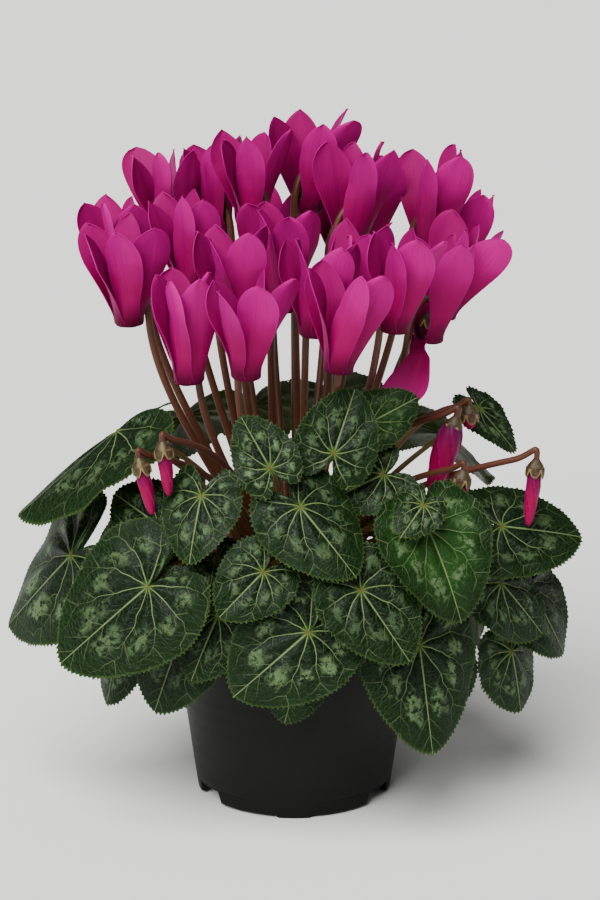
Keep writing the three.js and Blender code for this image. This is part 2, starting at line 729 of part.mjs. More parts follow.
// A bloom as one closed shell: a short tube of five walls with a hollow at its mouth below, and a
// petal stitched into the foot of each wall. A petal's two faces have the same triangles.
const PETAL_GRID = [0.38, 0.76].flatMap((t) => [-1, 0, 1].map((s) => [t, s]));
PETAL_GRID.push([0.97, -1], [0.97, 1]);
function makeBloomPetals(bloom) {
  const between = PETAL_BEARINGS.map((bearing, k) => {
    const before = PETAL_BEARINGS[(k + 4) % 5] - (k === 0 ? 360 : 0);
    return (before + bearing) / 2;
  });
  const spoke = (bearing, radius, height) => (
    along(along(bloom.mouth, around(bloom, bearing), radius), bloom.axis, height)
  );
  const ring = (radius, height) => between.map((bearing) => spoke(bearing, radius, height));
  const vertices = [
    along(bloom.mouth, bloom.axis, 4),
    ...ring(MOUTH_RADIUS - 2.2, 0),
    ...ring(MOUTH_RADIUS, 0),
    ...ring(MOUTH_RADIUS - 2.2, TUBE_HEIGHT),
    along(bloom.mouth, bloom.axis, TUBE_HEIGHT),
  ];
  const faces = [];
  const strip = (a, b) => {
    for (let i = 0; i < a.length - 1; i += 1) {
      faces.push([a[i], b[i], b[i + 1]], [a[i], b[i + 1], a[i + 1]]);
    }
  };
  for (let k = 0; k < 5; k += 1) {
    const a = 1 + k;
    const b = 1 + ((k + 1) % 5);
    faces.push([0, b, a], [a, b, b + 5], [a, b + 5, a + 5], [a + 10, b + 10, 16]);
    const first = vertices.length;
    for (const [share, height] of [[-1, 0.1], [1, 0.1], [1, 0.22], [-1, 0.22]]) {
      const low = along(scaled(vertices[a + 5], 0.5 - share * 0.36), vertices[b + 5], 0.5 + share * 0.36);
      const high = along(scaled(vertices[a + 10], 0.5 - share * 0.36), vertices[b + 10],
        0.5 + share * 0.36);
      vertices.push(along(scaled(low, 1 - height), high, height));
    }
    const hole = [0, 1, 2, 3, 0].map((i) => first + i);
    strip(hole, [a + 5, b + 5, b + 10, a + 10, a + 5]);
    const [outside, inside] = [1, -1].map((face) => {
      const start = vertices.length;
      for (const [t, s] of PETAL_GRID) {
        const { point, normal } = petalPoint(bloom, k, t, s);
        vertices.push(along(point, normal, (face * PETAL_THICKNESS) / 2));
      }
      return start;
    });
    const cover = (left, right, start, flip) => {
      const triangles = [
        [left, start + 1, start],
        [left, right, start + 1],
        [right, start + 2, start + 1],
        [start, start + 1, start + 4],
        [start, start + 4, start + 3],
        [start + 1, start + 2, start + 5],
        [start + 1, start + 5, start + 4],
        [start + 3, start + 4, start + 6],
        [start + 4, start + 7, start + 6],
        [start + 4, start + 5, start + 7],
      ];
      faces.push(...triangles.map(([p, q, r]) => (flip ? [p, r, q] : [p, q, r])));
    };
    cover(hole[0], hole[1], outside, false);
    cover(hole[3], hole[2], inside, true);
    const edge = (start) => [start, start + 3, start + 6, start + 7, start + 5, start + 2];
    strip([hole[3], ...edge(inside), hole[2]], [hole[0], ...edge(outside), hole[1]]);
  }
  return meshGeometry(vertices, faces);
}

function bloomSamples(bloom) {
  const points = [];
  PETAL_BEARINGS.forEach((_, k) => {
    for (const t of [0.08, 0.24, 0.4, 0.56, 0.72, 0.86, 0.97]) {
      for (const s of [-0.8, 0, 0.8]) {
        points.push(petalPoint(bloom, k, t, s).point);
      }
    }
  });
  return points;
}

// Turns and nudges each bloom until its petals clear those placed before it.
function placeBlooms(blooms) {
  const taken = new Map();
  blooms.forEach((bloom, own) => {
    const home = bloom.mouth;
    const spin = bloom.spin;
    const nudge = along(radial(bloom.azimuth), UP, 1);
    for (let step = 0; step < 40; step += 1) {
      bloom.spin = spin + [0, 12, -12, 24, -24][step % 5];
      bloom.mouth = along(home, nudge, Math.floor(step / 5) * 1.5);
      if (clear(bloomSamples(bloom), taken, BLOOM_CLEARANCE)) {
        break;
      }
    }
    takePoints(taken, bloomSamples(bloom), own);
  });
  return taken;
}

// A flower stem: up from the tuber, then over in a hook into the top of its calyx.
function stemPath(flower, bow, steps, bends) {
  const { root, start, arrival, calyx, axis } = flower;
  const length = size(along(start, root, -1));
  const outward = unit([start[0], start[1], 0.001]);
  const sideways = cross(UP, outward);
  const first = along(along(root, UP, length * 0.34), outward, length * 0.1);
  const second = along(start, arrival, -length * flower.reach);
  const rise = bezier(root, along(first, sideways, bow), along(second, sideways, bow), start, steps);
  const bend = size(along(calyx, start, -1)) * 0.9;
  const hook = bezier(start, along(start, arrival, bend), along(calyx, axis, bend), calyx, bends);
  return [...rise, ...hook.slice(1)];
}

// Where a flower's stem leaves the tuber, in step with the flower's own place.
function stemRoot(x, y) {
  const share = Math.min(1 / 7, 14 / Math.hypot(x, y));
  return [x * share, y * share, TUBER_TOP - 3];
}

function bloomFlower(bloom) {
  return {
    root: stemRoot(bloom.mouth[0], bloom.mouth[1]),
    start: along(along(bloom.mouth, around(bloom, 0), HOOK_REACH), bloom.axis, 2),
    arrival: bloom.axis,
    reach: 0.3,
    calyx: along(bloom.mouth, bloom.axis, TUBE_HEIGHT + SEAT_GAP + CALYX_DEPTH),
    axis: bloom.axis,
    width: MOUTH_RADIUS - 2.2,
  };
}

function budFlower(row) {
  const [x, y, z, across, deep, , , back] = row;
  const calyx = [x, y, z];
  const outward = radial((Math.atan2(y, x) * 180) / Math.PI);
  const axis = unit([-Math.tan(radians(across)), -Math.tan(radians(deep)), 1]);
  const start = along(along(calyx, outward, -back), UP, 1);
  return {
    root: stemRoot(x, y),
    start,
    arrival: unit(along(scaled(outward, 0.95), UP, 0.3)),
    reach: 0.42,
    calyx: along(calyx, axis, 2),
    axis,
    width: 3,
  };
}

// The tuber and every flower stem that grows from it. A stem ends in its calyx, which widens like
// a cup to meet the flower.
function makeStems(flowers) {
  const shapes = [solid(turned(tuberProfile(), TUBER_SIDES))];
  for (const flower of flowers) {
    const path = stemPath(flower, flower.bow, 3, HOOK_BENDS);
    const radii = path.map((_, i) => STEM_RADIUS * (1.1 - 0.03 * i));
    path.push(along(flower.calyx, flower.axis, -CALYX_DEPTH));
    radii.push(flower.width);
    shapes.push(solid(tube(path, radii, 5)));
  }
  return geometryOf(joined(shapes));
}

// Bows each stem sideways until it clears the petals of every bloom and bud but its own.
function placeStems(flowers, petals) {
  flowers.forEach((flower, own) => {
    const bows = [0, 4, -4, 8, -8, 12, -12, 18, -18, 24, -24, 32, -32];
    const free = bows.find((bow) => (
      clear(dotted(stemPath(flower, bow, 3, HOOK_BENDS), STALK_STEP), petals, STALK_CLEARANCE, own)
    ));
    flower.bow = free ?? 0;
  });
}

// A closed bud's petals, rolled in a slim twisted spindle that hangs from its calyx.
function makeBudPetals(row, flower) {
  const [, , , , , length, girth] = row;
  const sides = 5;
  const rings = [[0, 0.62], [0.3, 1], [0.7, 0.8], [1, 0.22]];
  const top = along(flower.calyx, flower.axis, -CALYX_DEPTH - SEAT_GAP);
  const level = unit(cross(flower.axis, [0, 1, 0]));
  const other = cross(flower.axis, level);
  const points = rings.flatMap(([t, share]) => Array.from({ length: sides }, (_, k) => {
    const turn = (k / sides) * 2 * Math.PI + t * 1.4;
    const spoke = along(scaled(level, Math.cos(turn)), other, Math.sin(turn));
    return along(along(top, flower.axis, -length * t), spoke, girth * share);
  }));
  const faces = [];
  for (let i = 0; i < rings.length - 1; i += 1) {
    for (let k = 0; k < sides; k += 1) {
      const a = i * sides + k;
      const b = i * sides + ((k + 1) % sides);
      faces.push([a, b + sides, b], [a, a + sides, b + sides]);
    }
  }
  const last = (rings.length - 1) * sides;
  for (let k = 1; k < sides - 1; k += 1) {
    faces.push([0, k, k + 1], [last, last + k + 1, last + k]);
  }
  return meshGeometry(points, faces);
}

// Sample points down the middle of a bud's petals.
function budSamples(row, flower) {
  const top = along(flower.calyx, flower.axis, -CALYX_DEPTH);
  return dotted([top, along(top, flower.axis, -row[5])], STALK_STEP);
}

// Sample points round the pot's rim, which leaves and petioles pass over or hang clear of.
function rimSamples() {
  return [0, 1].flatMap((row) => Array.from({ length: 90 }, (_, k) => (
    along(scaled(radial(k * 4), RIM_RADIUS - 1), UP, POT_HEIGHT - 1 - row * 4)
  )));
}

const blooms = BLOOMS.map(makeBloom);
const petals = placeBlooms(blooms);
const flowers = [...blooms.map(bloomFlower), ...BUDS.map(budFlower)];
const stalks = new Map();
BUDS.forEach((row, k) => {
  const own = blooms.length + k;
  const samples = budSamples(row, flowers[own]);
  takePoints(petals, samples, own);
  takePoints(stalks, samples);
});
placeStems(flowers, petals);
flowers.forEach((flower) => (
  takePoints(stalks, dotted(stemPath(flower, flower.bow, 3, HOOK_BENDS), STALK_STEP))
));
takePoints(stalks, rimSamples());

const leaves = [...FRONT_LEAVES, ...backLeafRows()].map(makeLeaf);
const pairs = [];
for (let k = 0; k < leaves.length; k += 2) {
  pairs.push(leaves.slice(k, k + 2));
}
placeFeet(pairs);
placeLeaves(leaves, stalks);

const plant = new THREE.Group();

function place(name, geometry, colour, roughness) {
  const material = new THREE.MeshStandardMaterial({ color: colour, roughness, metalness: 0 });
  const mesh = new THREE.Mesh(geometry, material);
  mesh.name = name;
  plant.add(mesh);
}

const numbered = (name, k) => `${name}_${String(k + 1).padStart(2, '0')}`;

place('pot', makePot(), COLOURS.pot, 0.55);
place('soil', makeSoil(), COLOURS.soil, 0.95);
place('tuber_and_flower_stems', makeStems(flowers), COLOURS.stems, 0.6);
blooms.forEach((bloom, k) => place(numbered('bloom', k), makeBloomPetals(bloom), COLOURS.bloom, 0.55));
BUDS.forEach((row, k) => {
  const flower = flowers[blooms.length + k];
  place(numbered('bud', k), makeBudPetals(row, flower), COLOURS.bud, 0.55);
});
pairs.forEach((pair, k) => place(numbered('leaves', k), makeLeafPair(pair), COLOURS.leaf, 0.5));

export default plant;
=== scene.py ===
"""A potted cyclamen in full bloom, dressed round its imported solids.

Sizes in the plant's own arithmetic are millimetres, as in the part's source, and become metres
when a mesh is made. +Z is up, -Y is the front, and azimuths are degrees from +X.
"""

import functools
import math
from types import SimpleNamespace

import bmesh
import bpy
import numpy as np
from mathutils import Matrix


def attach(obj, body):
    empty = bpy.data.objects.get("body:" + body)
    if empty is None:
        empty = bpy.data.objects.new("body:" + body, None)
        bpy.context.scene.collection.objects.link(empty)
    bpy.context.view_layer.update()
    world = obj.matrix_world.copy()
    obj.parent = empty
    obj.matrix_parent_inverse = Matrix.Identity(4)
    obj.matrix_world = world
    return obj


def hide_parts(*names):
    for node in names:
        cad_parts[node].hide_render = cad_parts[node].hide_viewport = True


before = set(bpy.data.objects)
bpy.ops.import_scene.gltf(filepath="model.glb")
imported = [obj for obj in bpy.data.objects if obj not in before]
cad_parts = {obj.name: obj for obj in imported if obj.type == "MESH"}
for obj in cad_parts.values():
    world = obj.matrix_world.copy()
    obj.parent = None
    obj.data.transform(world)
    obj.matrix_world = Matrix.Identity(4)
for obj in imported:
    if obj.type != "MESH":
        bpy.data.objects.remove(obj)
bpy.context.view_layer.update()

bl_info = {
    "name": "Potted cyclamen",
    "version": (1, 0, 0),
    "blender": (4, 5, 0),
    "location": "View3D > Sidebar > Cyclamen",
    "description": "Builds a flowering cyclamen in a nursery pot round its packed solids",
    "category": "Add Mesh",
}

METRE = 1000.0  # millimetres

# Pot, as the solids have it.
POT_HEIGHT = 115.0
POT_BASE_RADIUS = 49.4
POT_WALL_TOP_RADIUS = 63.6
POT_WALL = 1.8
RIM_RADIUS = 66.0
RIM_DEPTH = 10.5
FLOOR_BOTTOM = 8.0
FLOOR_TOP = 10.0
FLOOR_UNDER_RADIUS = 47.2
FOOT_HEIGHT = 1.5
FOOT_HALF_ANGLE = 10.0
NOTCH_HEIGHT = 7.5
NOTCH_HALF_ANGLE = 11.0
FOOT_BEARINGS = (-90, 30, 150)
DRAIN_RADIUS = 5.0
DRAIN_REACH = 28.0
POT_COLUMNS = 360

# Soil and tuber.
SOIL_TOP = 103.0
SEAT_GAP = 0.3
TUBER_RADIUS = 38.0
TUBER_TOP = 108.0
TUBER_BOTTOM = 80.0

# Leaves.
BLADE_THICKNESS = 0.9
ROOT_RADIUS = 3.0
BLADE_CLEARANCE = 4.0
STALK_CLEARANCE = 4.2
PETIOLE_CLEARANCE = 4.2
SAMPLE_STEP = 4.2
STALK_STEP = 3.0
OVER_RIM = 134.0
TOOTH_PITCH = 2.4

# A cyclamen's main side veins leave the junction about this far apart, in radians, and the
# branches leave them this far apart, in midrib lengths.
VEIN_STEP = math.radians(37)
BRANCH_STEP = 0.165

# Blooms and stems.
PETAL_LENGTH = 48.0
PETAL_HALF_WIDTH = 10.0
PETAL_BEARINGS = np.array((62.0, 122.0, 181.0, 241.0, 304.0))
BASE_BEARINGS = np.array((36.0, 108.0, 180.0, 252.0, 324.0))
PETAL_SWELL = 3.2
TUBE_HEIGHT = 9.0
HOOK_REACH = 10.5
HOOK_BENDS = 3
CALYX_DEPTH = 4.4
BLOOM_CLEARANCE = 4.6

# The one petal that hangs: its bloom and number, its flare in degrees, how far it drops in
# lengths, and how far its foot swells outwards.
HANGING_PETAL = (6, 0)
HANGING_FLARE = 16.0
HANGING_DROP = 0.6
HANGING_SWELL = 6.0

# Leaves in front, two to a node: azimuth, reach and height of the junction, the way the blade
# faces, its tilt from level, the turn of its tip, the midrib's length and the fold of its halves.
FRONT_LEAVES = (
    (-98, 78, 190, -92, 72, -150, 28, 0.1),
    (-82, 74, 196, -85, 80, 157, 33, 0.1),
    (-119, 84, 172, -112, 56, 0, 33, -0.05),
    (-110, 84, 143, -90, 50, 17, 24, 0.1),
    (-89, 80, 167, -82, 62, 36, 42, -0.1),
    (-101, 86, 138, -80, 60, -48, 30, 0.2),
    (-137, 98, 162, -125, 60, -110, 34, 0.05),
    (-135, 111, 134, -118, 66, -45, 59, 0),
    (-158, 84, 183, -175, 34, 0, 64, -0.2),
    (-160, 117, 135, -145, 66, -42, 62, -0.15),
    (-123, 102, 133, -110, 60, 74, 20, 0.1),
    (-113, 93, 119, -104, 66, -20, 34, 0),
    (-129, 93, 105, -118, 76, -18, 41, 0),
    (-151, 100, 91, -140, 80, -7, 31, -0.1),
    (-86, 98, 115, -88, 74, -49, 47, 0),
    (-88, 92, 96, -90, 80, -15, 30, 0),
    (-72, 103, 136, -80, 62, 32, 41, 0.1),
    (-54, 103, 103, -66, 74, 3, 53, 0),
    (-50, 97, 157, -66, 58, 13, 46, 0.2),
    (-55, 97, 167, -80, 48, -41, 20, 0.1),
    (-28, 107, 121, -50, 66, 36, 37, -0.1),
    (-38, 100, 92, -50, 80, 0, 32, 0),
    (-16, 107, 147, -60, 50, 78, 45, -0.1),
    (8, 86, 185, -40, 42, 10, 28, 0),
    (-10, 120, 115, -38, 66, 24, 42, -0.1),
    (-20, 115, 85, -50, 82, 13, 34, -0.2),
    (-51, 79, 184, -75, 52, -68, 29, 0.05),
    (-48, 62, 204, -75, 62, 116, 26, 0),
)

# Leaves behind, by rings: number, first azimuth, step, reach, height, tilt, midrib length.
BACK_RINGS = (
    (6, 16, 29, 94, 94, 78, 40),
    (8, 0, 24, 92, 130, 58, 42),
    (6, 15, 30, 82, 182, 42, 42),
)

# Blooms: the mouth's place across, in depth and up, its lean, the azimuth it leans to and the
# flare of its petals.
BLOOMS = (
    (-80, -26, 250, 3, 180, 12),
    (-50, -62, 230, 3, -150, 9),
    (-22, -74, 234, 3, -60, 14),
    (21, -73, 238, 8, 0, 9),
    (10, -43, 248, 3, 60, 9),
    (48, -50, 252, 5, 10, 9),
    (66, -23, 241, 6, 0, 9),
    (74, 10, 246, 20, 10, 9),
    (-50, -8, 262, 5, 170, 10),
    (-30, -37, 249, 2, 100, 9),
    (29, -14, 248, 3, 20, 8),
    (-6, -6, 252, 2, 90, 10),
    (-62, 37, 275, 6, 140, 11),
    (-84, 13, 256, 4, 175, 12),
    (-20, 23, 288, 3, 120, 11),
    (7, 48, 291, 0, 90, 13),
    (28, 20, 278, 4, -30, 10),
    (38, 62, 270, 4, 40, 10),
    (67, 43, 269, 4, 20, 10),
    (80, 75, 250, 9, 30, 11),
    (-38, 60, 274, 6, 130, 11),
    (-12, 80, 247, 6, 90, 9),
    (22, 80, 246, 3, 80, 9),
)

# Buds: the calyx's place, the lean of its petals across and in depth, the petals' length and
# greatest radius, and how far behind the calyx the stem rises.
BUDS = (
    (-73, -80, 194, 12, 0, 24, 3.4, 9),
    (-62, -80, 202, 6, 0, 22, 3.4, 9),
    (79, -30, 201, -17, 0, 36, 6.5, 11),
    (87, -12, 202, 2, 0, 7, 3.6, 8),
    (82, -52, 180, -8, 0, 28, 3.4, 9),
    (118, -44, 183, -6, 0, 29, 3.6, 12),
)

UP = np.array((0.0, 0.0, 1.0))


# The plant's arithmetic, in the same order and with the same draws as its solids.


def radial(azimuth):
    """Level unit vector at an azimuth in degrees."""
    turn = math.radians(azimuth)
    return np.array((math.cos(turn), math.sin(turn), 0.0))


def unit(vector):
    """The vector, or each row of an array of them, divided by its length."""
    return vector / np.linalg.norm(vector, axis=-1, keepdims=True)


def draw(item, trait):
    """The fraction of a large sine, the same for the same two numbers."""
    wave = np.sin(item * 12.9898 + trait * 78.233) * 43758.5453
    return wave - np.floor(wave)


def spread(item, trait, reach):
    """A drawn number between minus and plus the reach."""
    return (draw(item, trait) * 2 - 1) * reach


def bezier(p0, p1, p2, p3, steps):
    """Cubic Bezier curve: the four points weighted by the cubic Bernstein shares of t."""
    t = np.linspace(0, 1, steps + 1)[:, None]
    s = 1 - t
    return p0 * s**3 + p1 * (3 * s * s * t) + p2 * (3 * s * t * t) + p3 * t**3


def dotted(line, gap):
    """Points along a line of straight pieces, no further apart than the gap."""
    pieces = []
    for start, end in zip(line[:-1], line[1:]):
        count = math.ceil(np.linalg.norm(end - start) / gap)
        share = np.arange(1, count + 1)[:, None] / count
        pieces.append(start * (1 - share) + end * share)
    return np.concatenate(pieces)


class Taken:
    """Points that are taken, each with its owner."""

    def __init__(self):
        self.points = np.empty((0, 3))
        self.owners = np.empty(0, int)

    def take(self, points, owner=-1):
        """Adds points of one owner."""
        self.points = np.concatenate((self.points, points))
        self.owners = np.concatenate((self.owners, np.full(len(points), owner)))

    def leaves_clear(self, points, distance, owner=-2):
        """Whether every point keeps the distance from all taken points but its owner's."""
        low = points.min(axis=0) - distance
        high = points.max(axis=0) + distance
        near = ((self.points > low) & (self.points < high)).all(axis=1)
        near &= self.owners != owner
        if not near.any():
            return True
        gaps = points[:, None] - self.points[near]
        return bool((gaps * gaps).sum(axis=2).min() >= distance * distance)


def make_bloom(row, item):
    """A bloom's frame: its axis leans, and its stem rises on the side of the plant's middle."""
    x, y, z, lean, lean_way, flare = row
    azimuth = math.degrees(math.atan2(y, x))
    lean = math.radians(lean)
    axis = radial(lean_way) * math.sin(lean) + UP * math.cos(lean)
    level = unit(np.cross(radial(azimuth), axis))
    return SimpleNamespace(
        azimuth=azimuth,
        mouth=np.array((x, y, z), float),
        axis=axis,
        inner=np.cross(level, axis),
        level=level,
        flare=flare,
        spin=spread(item, 21, 30),
        item=item,
        length=PETAL_LENGTH * (1 + spread(item, 22, 0.06)),
    )


def around(bloom, bearing):
    """Unit vectors square to the bloom's axis, at bearings in degrees from its stem's side."""
    turn = np.radians(np.asarray(bearing)[..., None] + bloom.spin)
    return bloom.inner * np.cos(turn) + bloom.level * np.sin(turn)


def petal_spine(bloom, k, t, bearing=None):
    """A petal's middle line at shares t of its length.

    Its radius is 4.6 + 3.2 (1 - exp(-8t)) plus 1.15 L tan(flare) t^1.6, and its half width
    10 (0.3 (1 - t)^2 + 1.62 t^1.15 (1 - t^3.4)^0.62). One petal of the plant hangs down from its
    mouth instead. Gives the line, the direction across, the normal and the half width.
    """
    draws = bloom.item * 5 + k
    if bearing is None:
        bearing = PETAL_BEARINGS[k] + spread(draws, 23, 3)
    out = around(bloom, bearing)
    side = np.cross(bloom.axis, out)
    hangs = (bloom.item, k) == HANGING_PETAL
    flare = HANGING_FLARE if hangs else bloom.flare + spread(draws, 24, 5)
    twist = 0 if hangs else 42 + spread(draws, 26, 10)
    swell = HANGING_SWELL if hangs else PETAL_SWELL
    rise = -HANGING_DROP if hangs else 1
    outside = -1 if hangs else 1
    length = bloom.length * (1 + spread(draws, 27, 0.05))
    sway = spread(draws, 25, 0.11) * length
    turn = (math.radians(twist) * np.minimum(1, t * 1.6))[:, None]
    width = 0.3 * (1 - t) ** 2 + 1.62 * t**1.15 * (1 - t**3.4) ** 0.62
    opening = math.tan(math.radians(flare)) * length * 1.15 * t**1.6
    radius = 4.6 + swell * (1 - np.exp(-8 * t)) + opening
    spine = bloom.mouth + bloom.axis * (0.8 + length * t * rise)[:, None]
    spine = spine + out * radius[:, None] + side * (sway * t * t)[:, None]
    across = side * np.cos(turn) + out * np.sin(turn)
    normal = out * np.cos(turn) * outside - side * np.sin(turn)
    return spine, across, normal, PETAL_HALF_WIDTH * width


def bloom_samples(bloom):
    """Points over the five petals that other blooms and stems keep clear of."""
    t = np.array((0.08, 0.24, 0.4, 0.56, 0.72, 0.86, 0.97))
    s = np.array((-0.8, 0.0, 0.8))[None, :, None]
    points = []
    for k in range(5):
        spine, across, normal, half = petal_spine(bloom, k, t)
        half = half[:, None, None] * s
        points.append(spine[:, None] + across[:, None] * half - normal[:, None] * 0.16 * half * s)
    return np.concatenate(points).reshape(-1, 3)


def place_blooms(blooms, petals):
    """Turns and nudges each bloom until its petals clear those placed before it."""
    for own, bloom in enumerate(blooms):
        home, spin = bloom.mouth, bloom.spin
        nudge = radial(bloom.azimuth) + UP
        for step in range(40):
            bloom.spin = spin + (0, 12, -12, 24, -24)[step % 5]
            bloom.mouth = home + nudge * (step // 5) * 1.5
            if petals.leaves_clear(bloom_samples(bloom), BLOOM_CLEARANCE):
                break
        petals.take(bloom_samples(bloom), own)


def stem_root(x, y):
    """Where a flower's stem leaves the tuber, in step with the flower's own place."""
    share = min(1 / 7, 14 / math.hypot(x, y))
    return np.array((x * share, y * share, TUBER_TOP - 3))


def bloom_flower(bloom):
    """The stem's start of the hook, its arrival there and the calyx of an open bloom."""
    return SimpleNamespace(
        root=stem_root(bloom.mouth[0], bloom.mouth[1]),
        start=bloom.mouth + around(bloom, 0) * HOOK_REACH + bloom.axis * 2,
        arrival=bloom.axis,
        reach=0.3,
        calyx=bloom.mouth + bloom.axis * (TUBE_HEIGHT + SEAT_GAP + CALYX_DEPTH),
        axis=bloom.axis,
    )


def bud_flower(row):
    """The same for a bud, whose stem arrives nearly level."""
    x, y, z, lean, deep = row[:5]
    calyx = np.array((x, y, z), float)
    outward = radial(math.degrees(math.atan2(y, x)))
    axis = unit(np.array((-math.tan(math.radians(lean)), -math.tan(math.radians(deep)), 1.0)))
    return SimpleNamespace(
        root=stem_root(x, y),
        start=calyx - outward * row[7] + UP,
        arrival=unit(outward * 0.95 + UP * 0.3),
        reach=0.42,
        calyx=calyx + axis * 2,
        axis=axis,
    )


def stem_path(flower, bow, steps, bends):
    """Two cubic curves: up from the tuber to the hook's start, then over into the calyx."""
    length = np.linalg.norm(flower.start - flower.root)
    outward = unit(np.array((flower.start[0], flower.start[1], 0.001)))
    sideways = np.cross(UP, outward) * bow
    first = flower.root + UP * length * 0.34 + outward * length * 0.1 + sideways
    second = flower.start - flower.arrival * length * flower.reach + sideways
    rise = bezier(flower.root, first, second, flower.start, steps)
    bend = np.linalg.norm(flower.calyx - flower.start) * 0.9
    over = flower.calyx + flower.axis * bend
    hook = bezier(flower.start, flower.start + flower.arrival * bend, over, flower.calyx, bends)
    return np.concatenate((rise, hook[1:]))


def place_stems(flowers, petals):
    """Bows each stem sideways until it clears all petals but its own."""
    for own, flower in enumerate(flowers):
        flower.bow = 0
        for bow in (0, 4, -4, 8, -8, 12, -12, 18, -18, 24, -24, 32, -32):
            dots = dotted(stem_path(flower, bow, 3, HOOK_BENDS), STALK_STEP)
            if petals.leaves_clear(dots, STALK_CLEARANCE, own):
                flower.bow = bow
                break


def outline_reach(angle):
    """Heart-shaped outline: distance from the junction in midrib lengths, at an angle.

    A round body, a tip that falls off as exp(-(angle / 0.62)^1.5), and a notch of Gaussian form
    opposite the tip.
    """
    away = np.abs(angle)
    body = 0.62 - 0.03 * (1 - np.cos(away))
    point = 0.38 * np.exp(-((away / 0.62) ** 1.5))
    sinus = 1 - 0.88 * np.exp(-(((math.pi - away) / 0.36) ** 2))
    return (body + point) * sinus


def blade_point(leaf, forward, sideways):
    """Points of a blade, forward and sideways in midrib lengths.

    It rises by fold |s|, and droops by droop f^2 ahead of the junction and by curl s^2.
    """
    ahead = np.maximum(0, forward)
    rise = leaf.fold * np.abs(sideways) - leaf.droop * ahead**2 - leaf.curl * sideways**2
    flat = leaf.tip_way * forward[..., None] + leaf.side_way * (sideways * leaf.width)[..., None]
    return leaf.junction + (flat + leaf.normal * rise[..., None]) * leaf.midrib


def make_leaf(row, item):
    """A leaf from one row of its driving sizes, with small differences drawn for it."""
    azimuth, reach, height, face, tilt, turn, midrib, fold = row
    return SimpleNamespace(
        item=item,
        azimuth=azimuth,
        reach=reach,
        height=height,
        face=face,
        tilt=tilt,
        turn=math.radians(turn),
        midrib=midrib,
        fold=fold,
        width=1 + spread(item, 1, 0.08),
        droop=0.06 + draw(item, 2) * 0.14,
        curl=0.1 + draw(item, 3) * 0.2,
    )


def stand_leaf(leaf, around_plant, tip, lift):
    """Stands a leaf at its place, moved by degrees, by degrees of tilt and along its normal."""
    facing = radial(leaf.face + around_plant)
    lean = math.radians(leaf.tilt + tip)
    downhill = facing * math.cos(lean) - UP * math.sin(lean)
    leaf.normal = facing * math.sin(lean) + UP * math.cos(lean)
    level = np.cross(leaf.normal, downhill)
    leaf.tip_way = downhill * math.cos(leaf.turn) + level * math.sin(leaf.turn)
    leaf.side_way = np.cross(leaf.normal, leaf.tip_way)
    stand = radial(leaf.azimuth + around_plant) * leaf.reach + UP * leaf.height
    leaf.junction = stand + leaf.normal * lift


def blade_samples(leaf):
    """Points over a blade, on rings about its junction."""
    points = [leaf.junction[None]]
    rings = math.ceil(leaf.midrib * 0.8 / SAMPLE_STEP)
    for ring in range(1, rings + 1):
        angle = (np.arange(ring * 6) + 0.5) / (ring * 6) * 2 * math.pi - math.pi
        reach = outline_reach(angle) * (ring / rings)
        points.append(blade_point(leaf, reach * np.cos(angle), reach * np.sin(angle)))
    return np.concatenate(points)


def petiole_path(leaf, way, steps):
    """Cubic curve from the root on the tuber, arching over to come up behind the junction."""
    slant, low, high = way
    length = np.linalg.norm(leaf.junction - leaf.root)
    outward = radial(leaf.azimuth)
    sideways = np.cross(UP, outward)
    first = leaf.root + UP * (6 + length * 0.3) + outward * length * 0.02
    arrival = unit(leaf.normal * math.cos(slant) + leaf.tip_way * math.sin(slant))
    second = leaf.junction - arrival * length * 0.34
    second = second + UP * max(0, OVER_RIM - second[2])
    end = leaf.junction - leaf.normal * BLADE_THICKNESS * 0.2
    return bezier(leaf.root, first + sideways * low, second + sideways * high, end, steps)


def petiole_samples(leaf, way):
    """Points along a petiole, without the last two, which lie at its own blade."""
    return dotted(petiole_path(leaf, way, 3), STALK_STEP)[:-2]


BOWS = (0, 7, -7, 14, -14)
PETIOLE_WAYS = sorted(
    ((slant, low, high) for slant in (0.6, 0.1, 1.1) for high in BOWS for low in BOWS),
    key=lambda way: abs(way[1]) + abs(way[2]),
)
LIFTS = (0, 1.5, -1.5, 3, -3, 4.5, -4.5, 6, -6, 7.5, 9, 10.5, 12, 14, 16)
PLACES = [(turn, tip, lift) for tip in (0, -8, 8) for lift in LIFTS for turn in (0, 3, -3, 6, -6)]


def find_place(leaf, blades, stalks):
    """Stands a leaf in the first place where its blade and one way of its petiole are clear."""
    for place in PLACES:
        stand_leaf(leaf, *place)
        samples = blade_samples(leaf)
        if not blades.leaves_clear(samples, BLADE_CLEARANCE):
            continue
        if not stalks.leaves_clear(samples, STALK_CLEARANCE):
            continue
        for way in PETIOLE_WAYS:
            path = petiole_samples(leaf, way)
            if not blades.leaves_clear(path, STALK_CLEARANCE):
                continue
            if stalks.leaves_clear(path, PETIOLE_CLEARANCE, leaf.twin):
                leaf.way = way
                return
    raise RuntimeError(f"leaf {leaf.item} finds no place")


def place_leaves(leaves, stalks):
    """Finds each leaf its place, from the lowest up."""
    blades = Taken()
    for leaf in sorted(leaves, key=lambda one: one.height):
        find_place(leaf, blades, stalks)
        blades.take(blade_samples(leaf))
        stalks.take(petiole_samples(leaf, leaf.way), leaf.twin)


def back_leaf_rows():
    """Rows for the leaves behind, ring by ring."""
    rows = []
    for count, first, step, reach, height, tilt, midrib in BACK_RINGS:
        for k in range(count):
            item = len(rows) + 100
            azimuth = first + step * k + spread(item, 4, 3)
            rows.append((
                azimuth,
                reach + spread(item, 5, 3),
                height + spread(item, 6, 4),
                azimuth + spread(item, 7, 14),
                tilt + spread(item, 8, 6),
                spread(item, 9, 34),
                midrib * (1 + spread(item, 10, 0.16)),
                spread(item, 11, 0.18),
            ))
    return rows


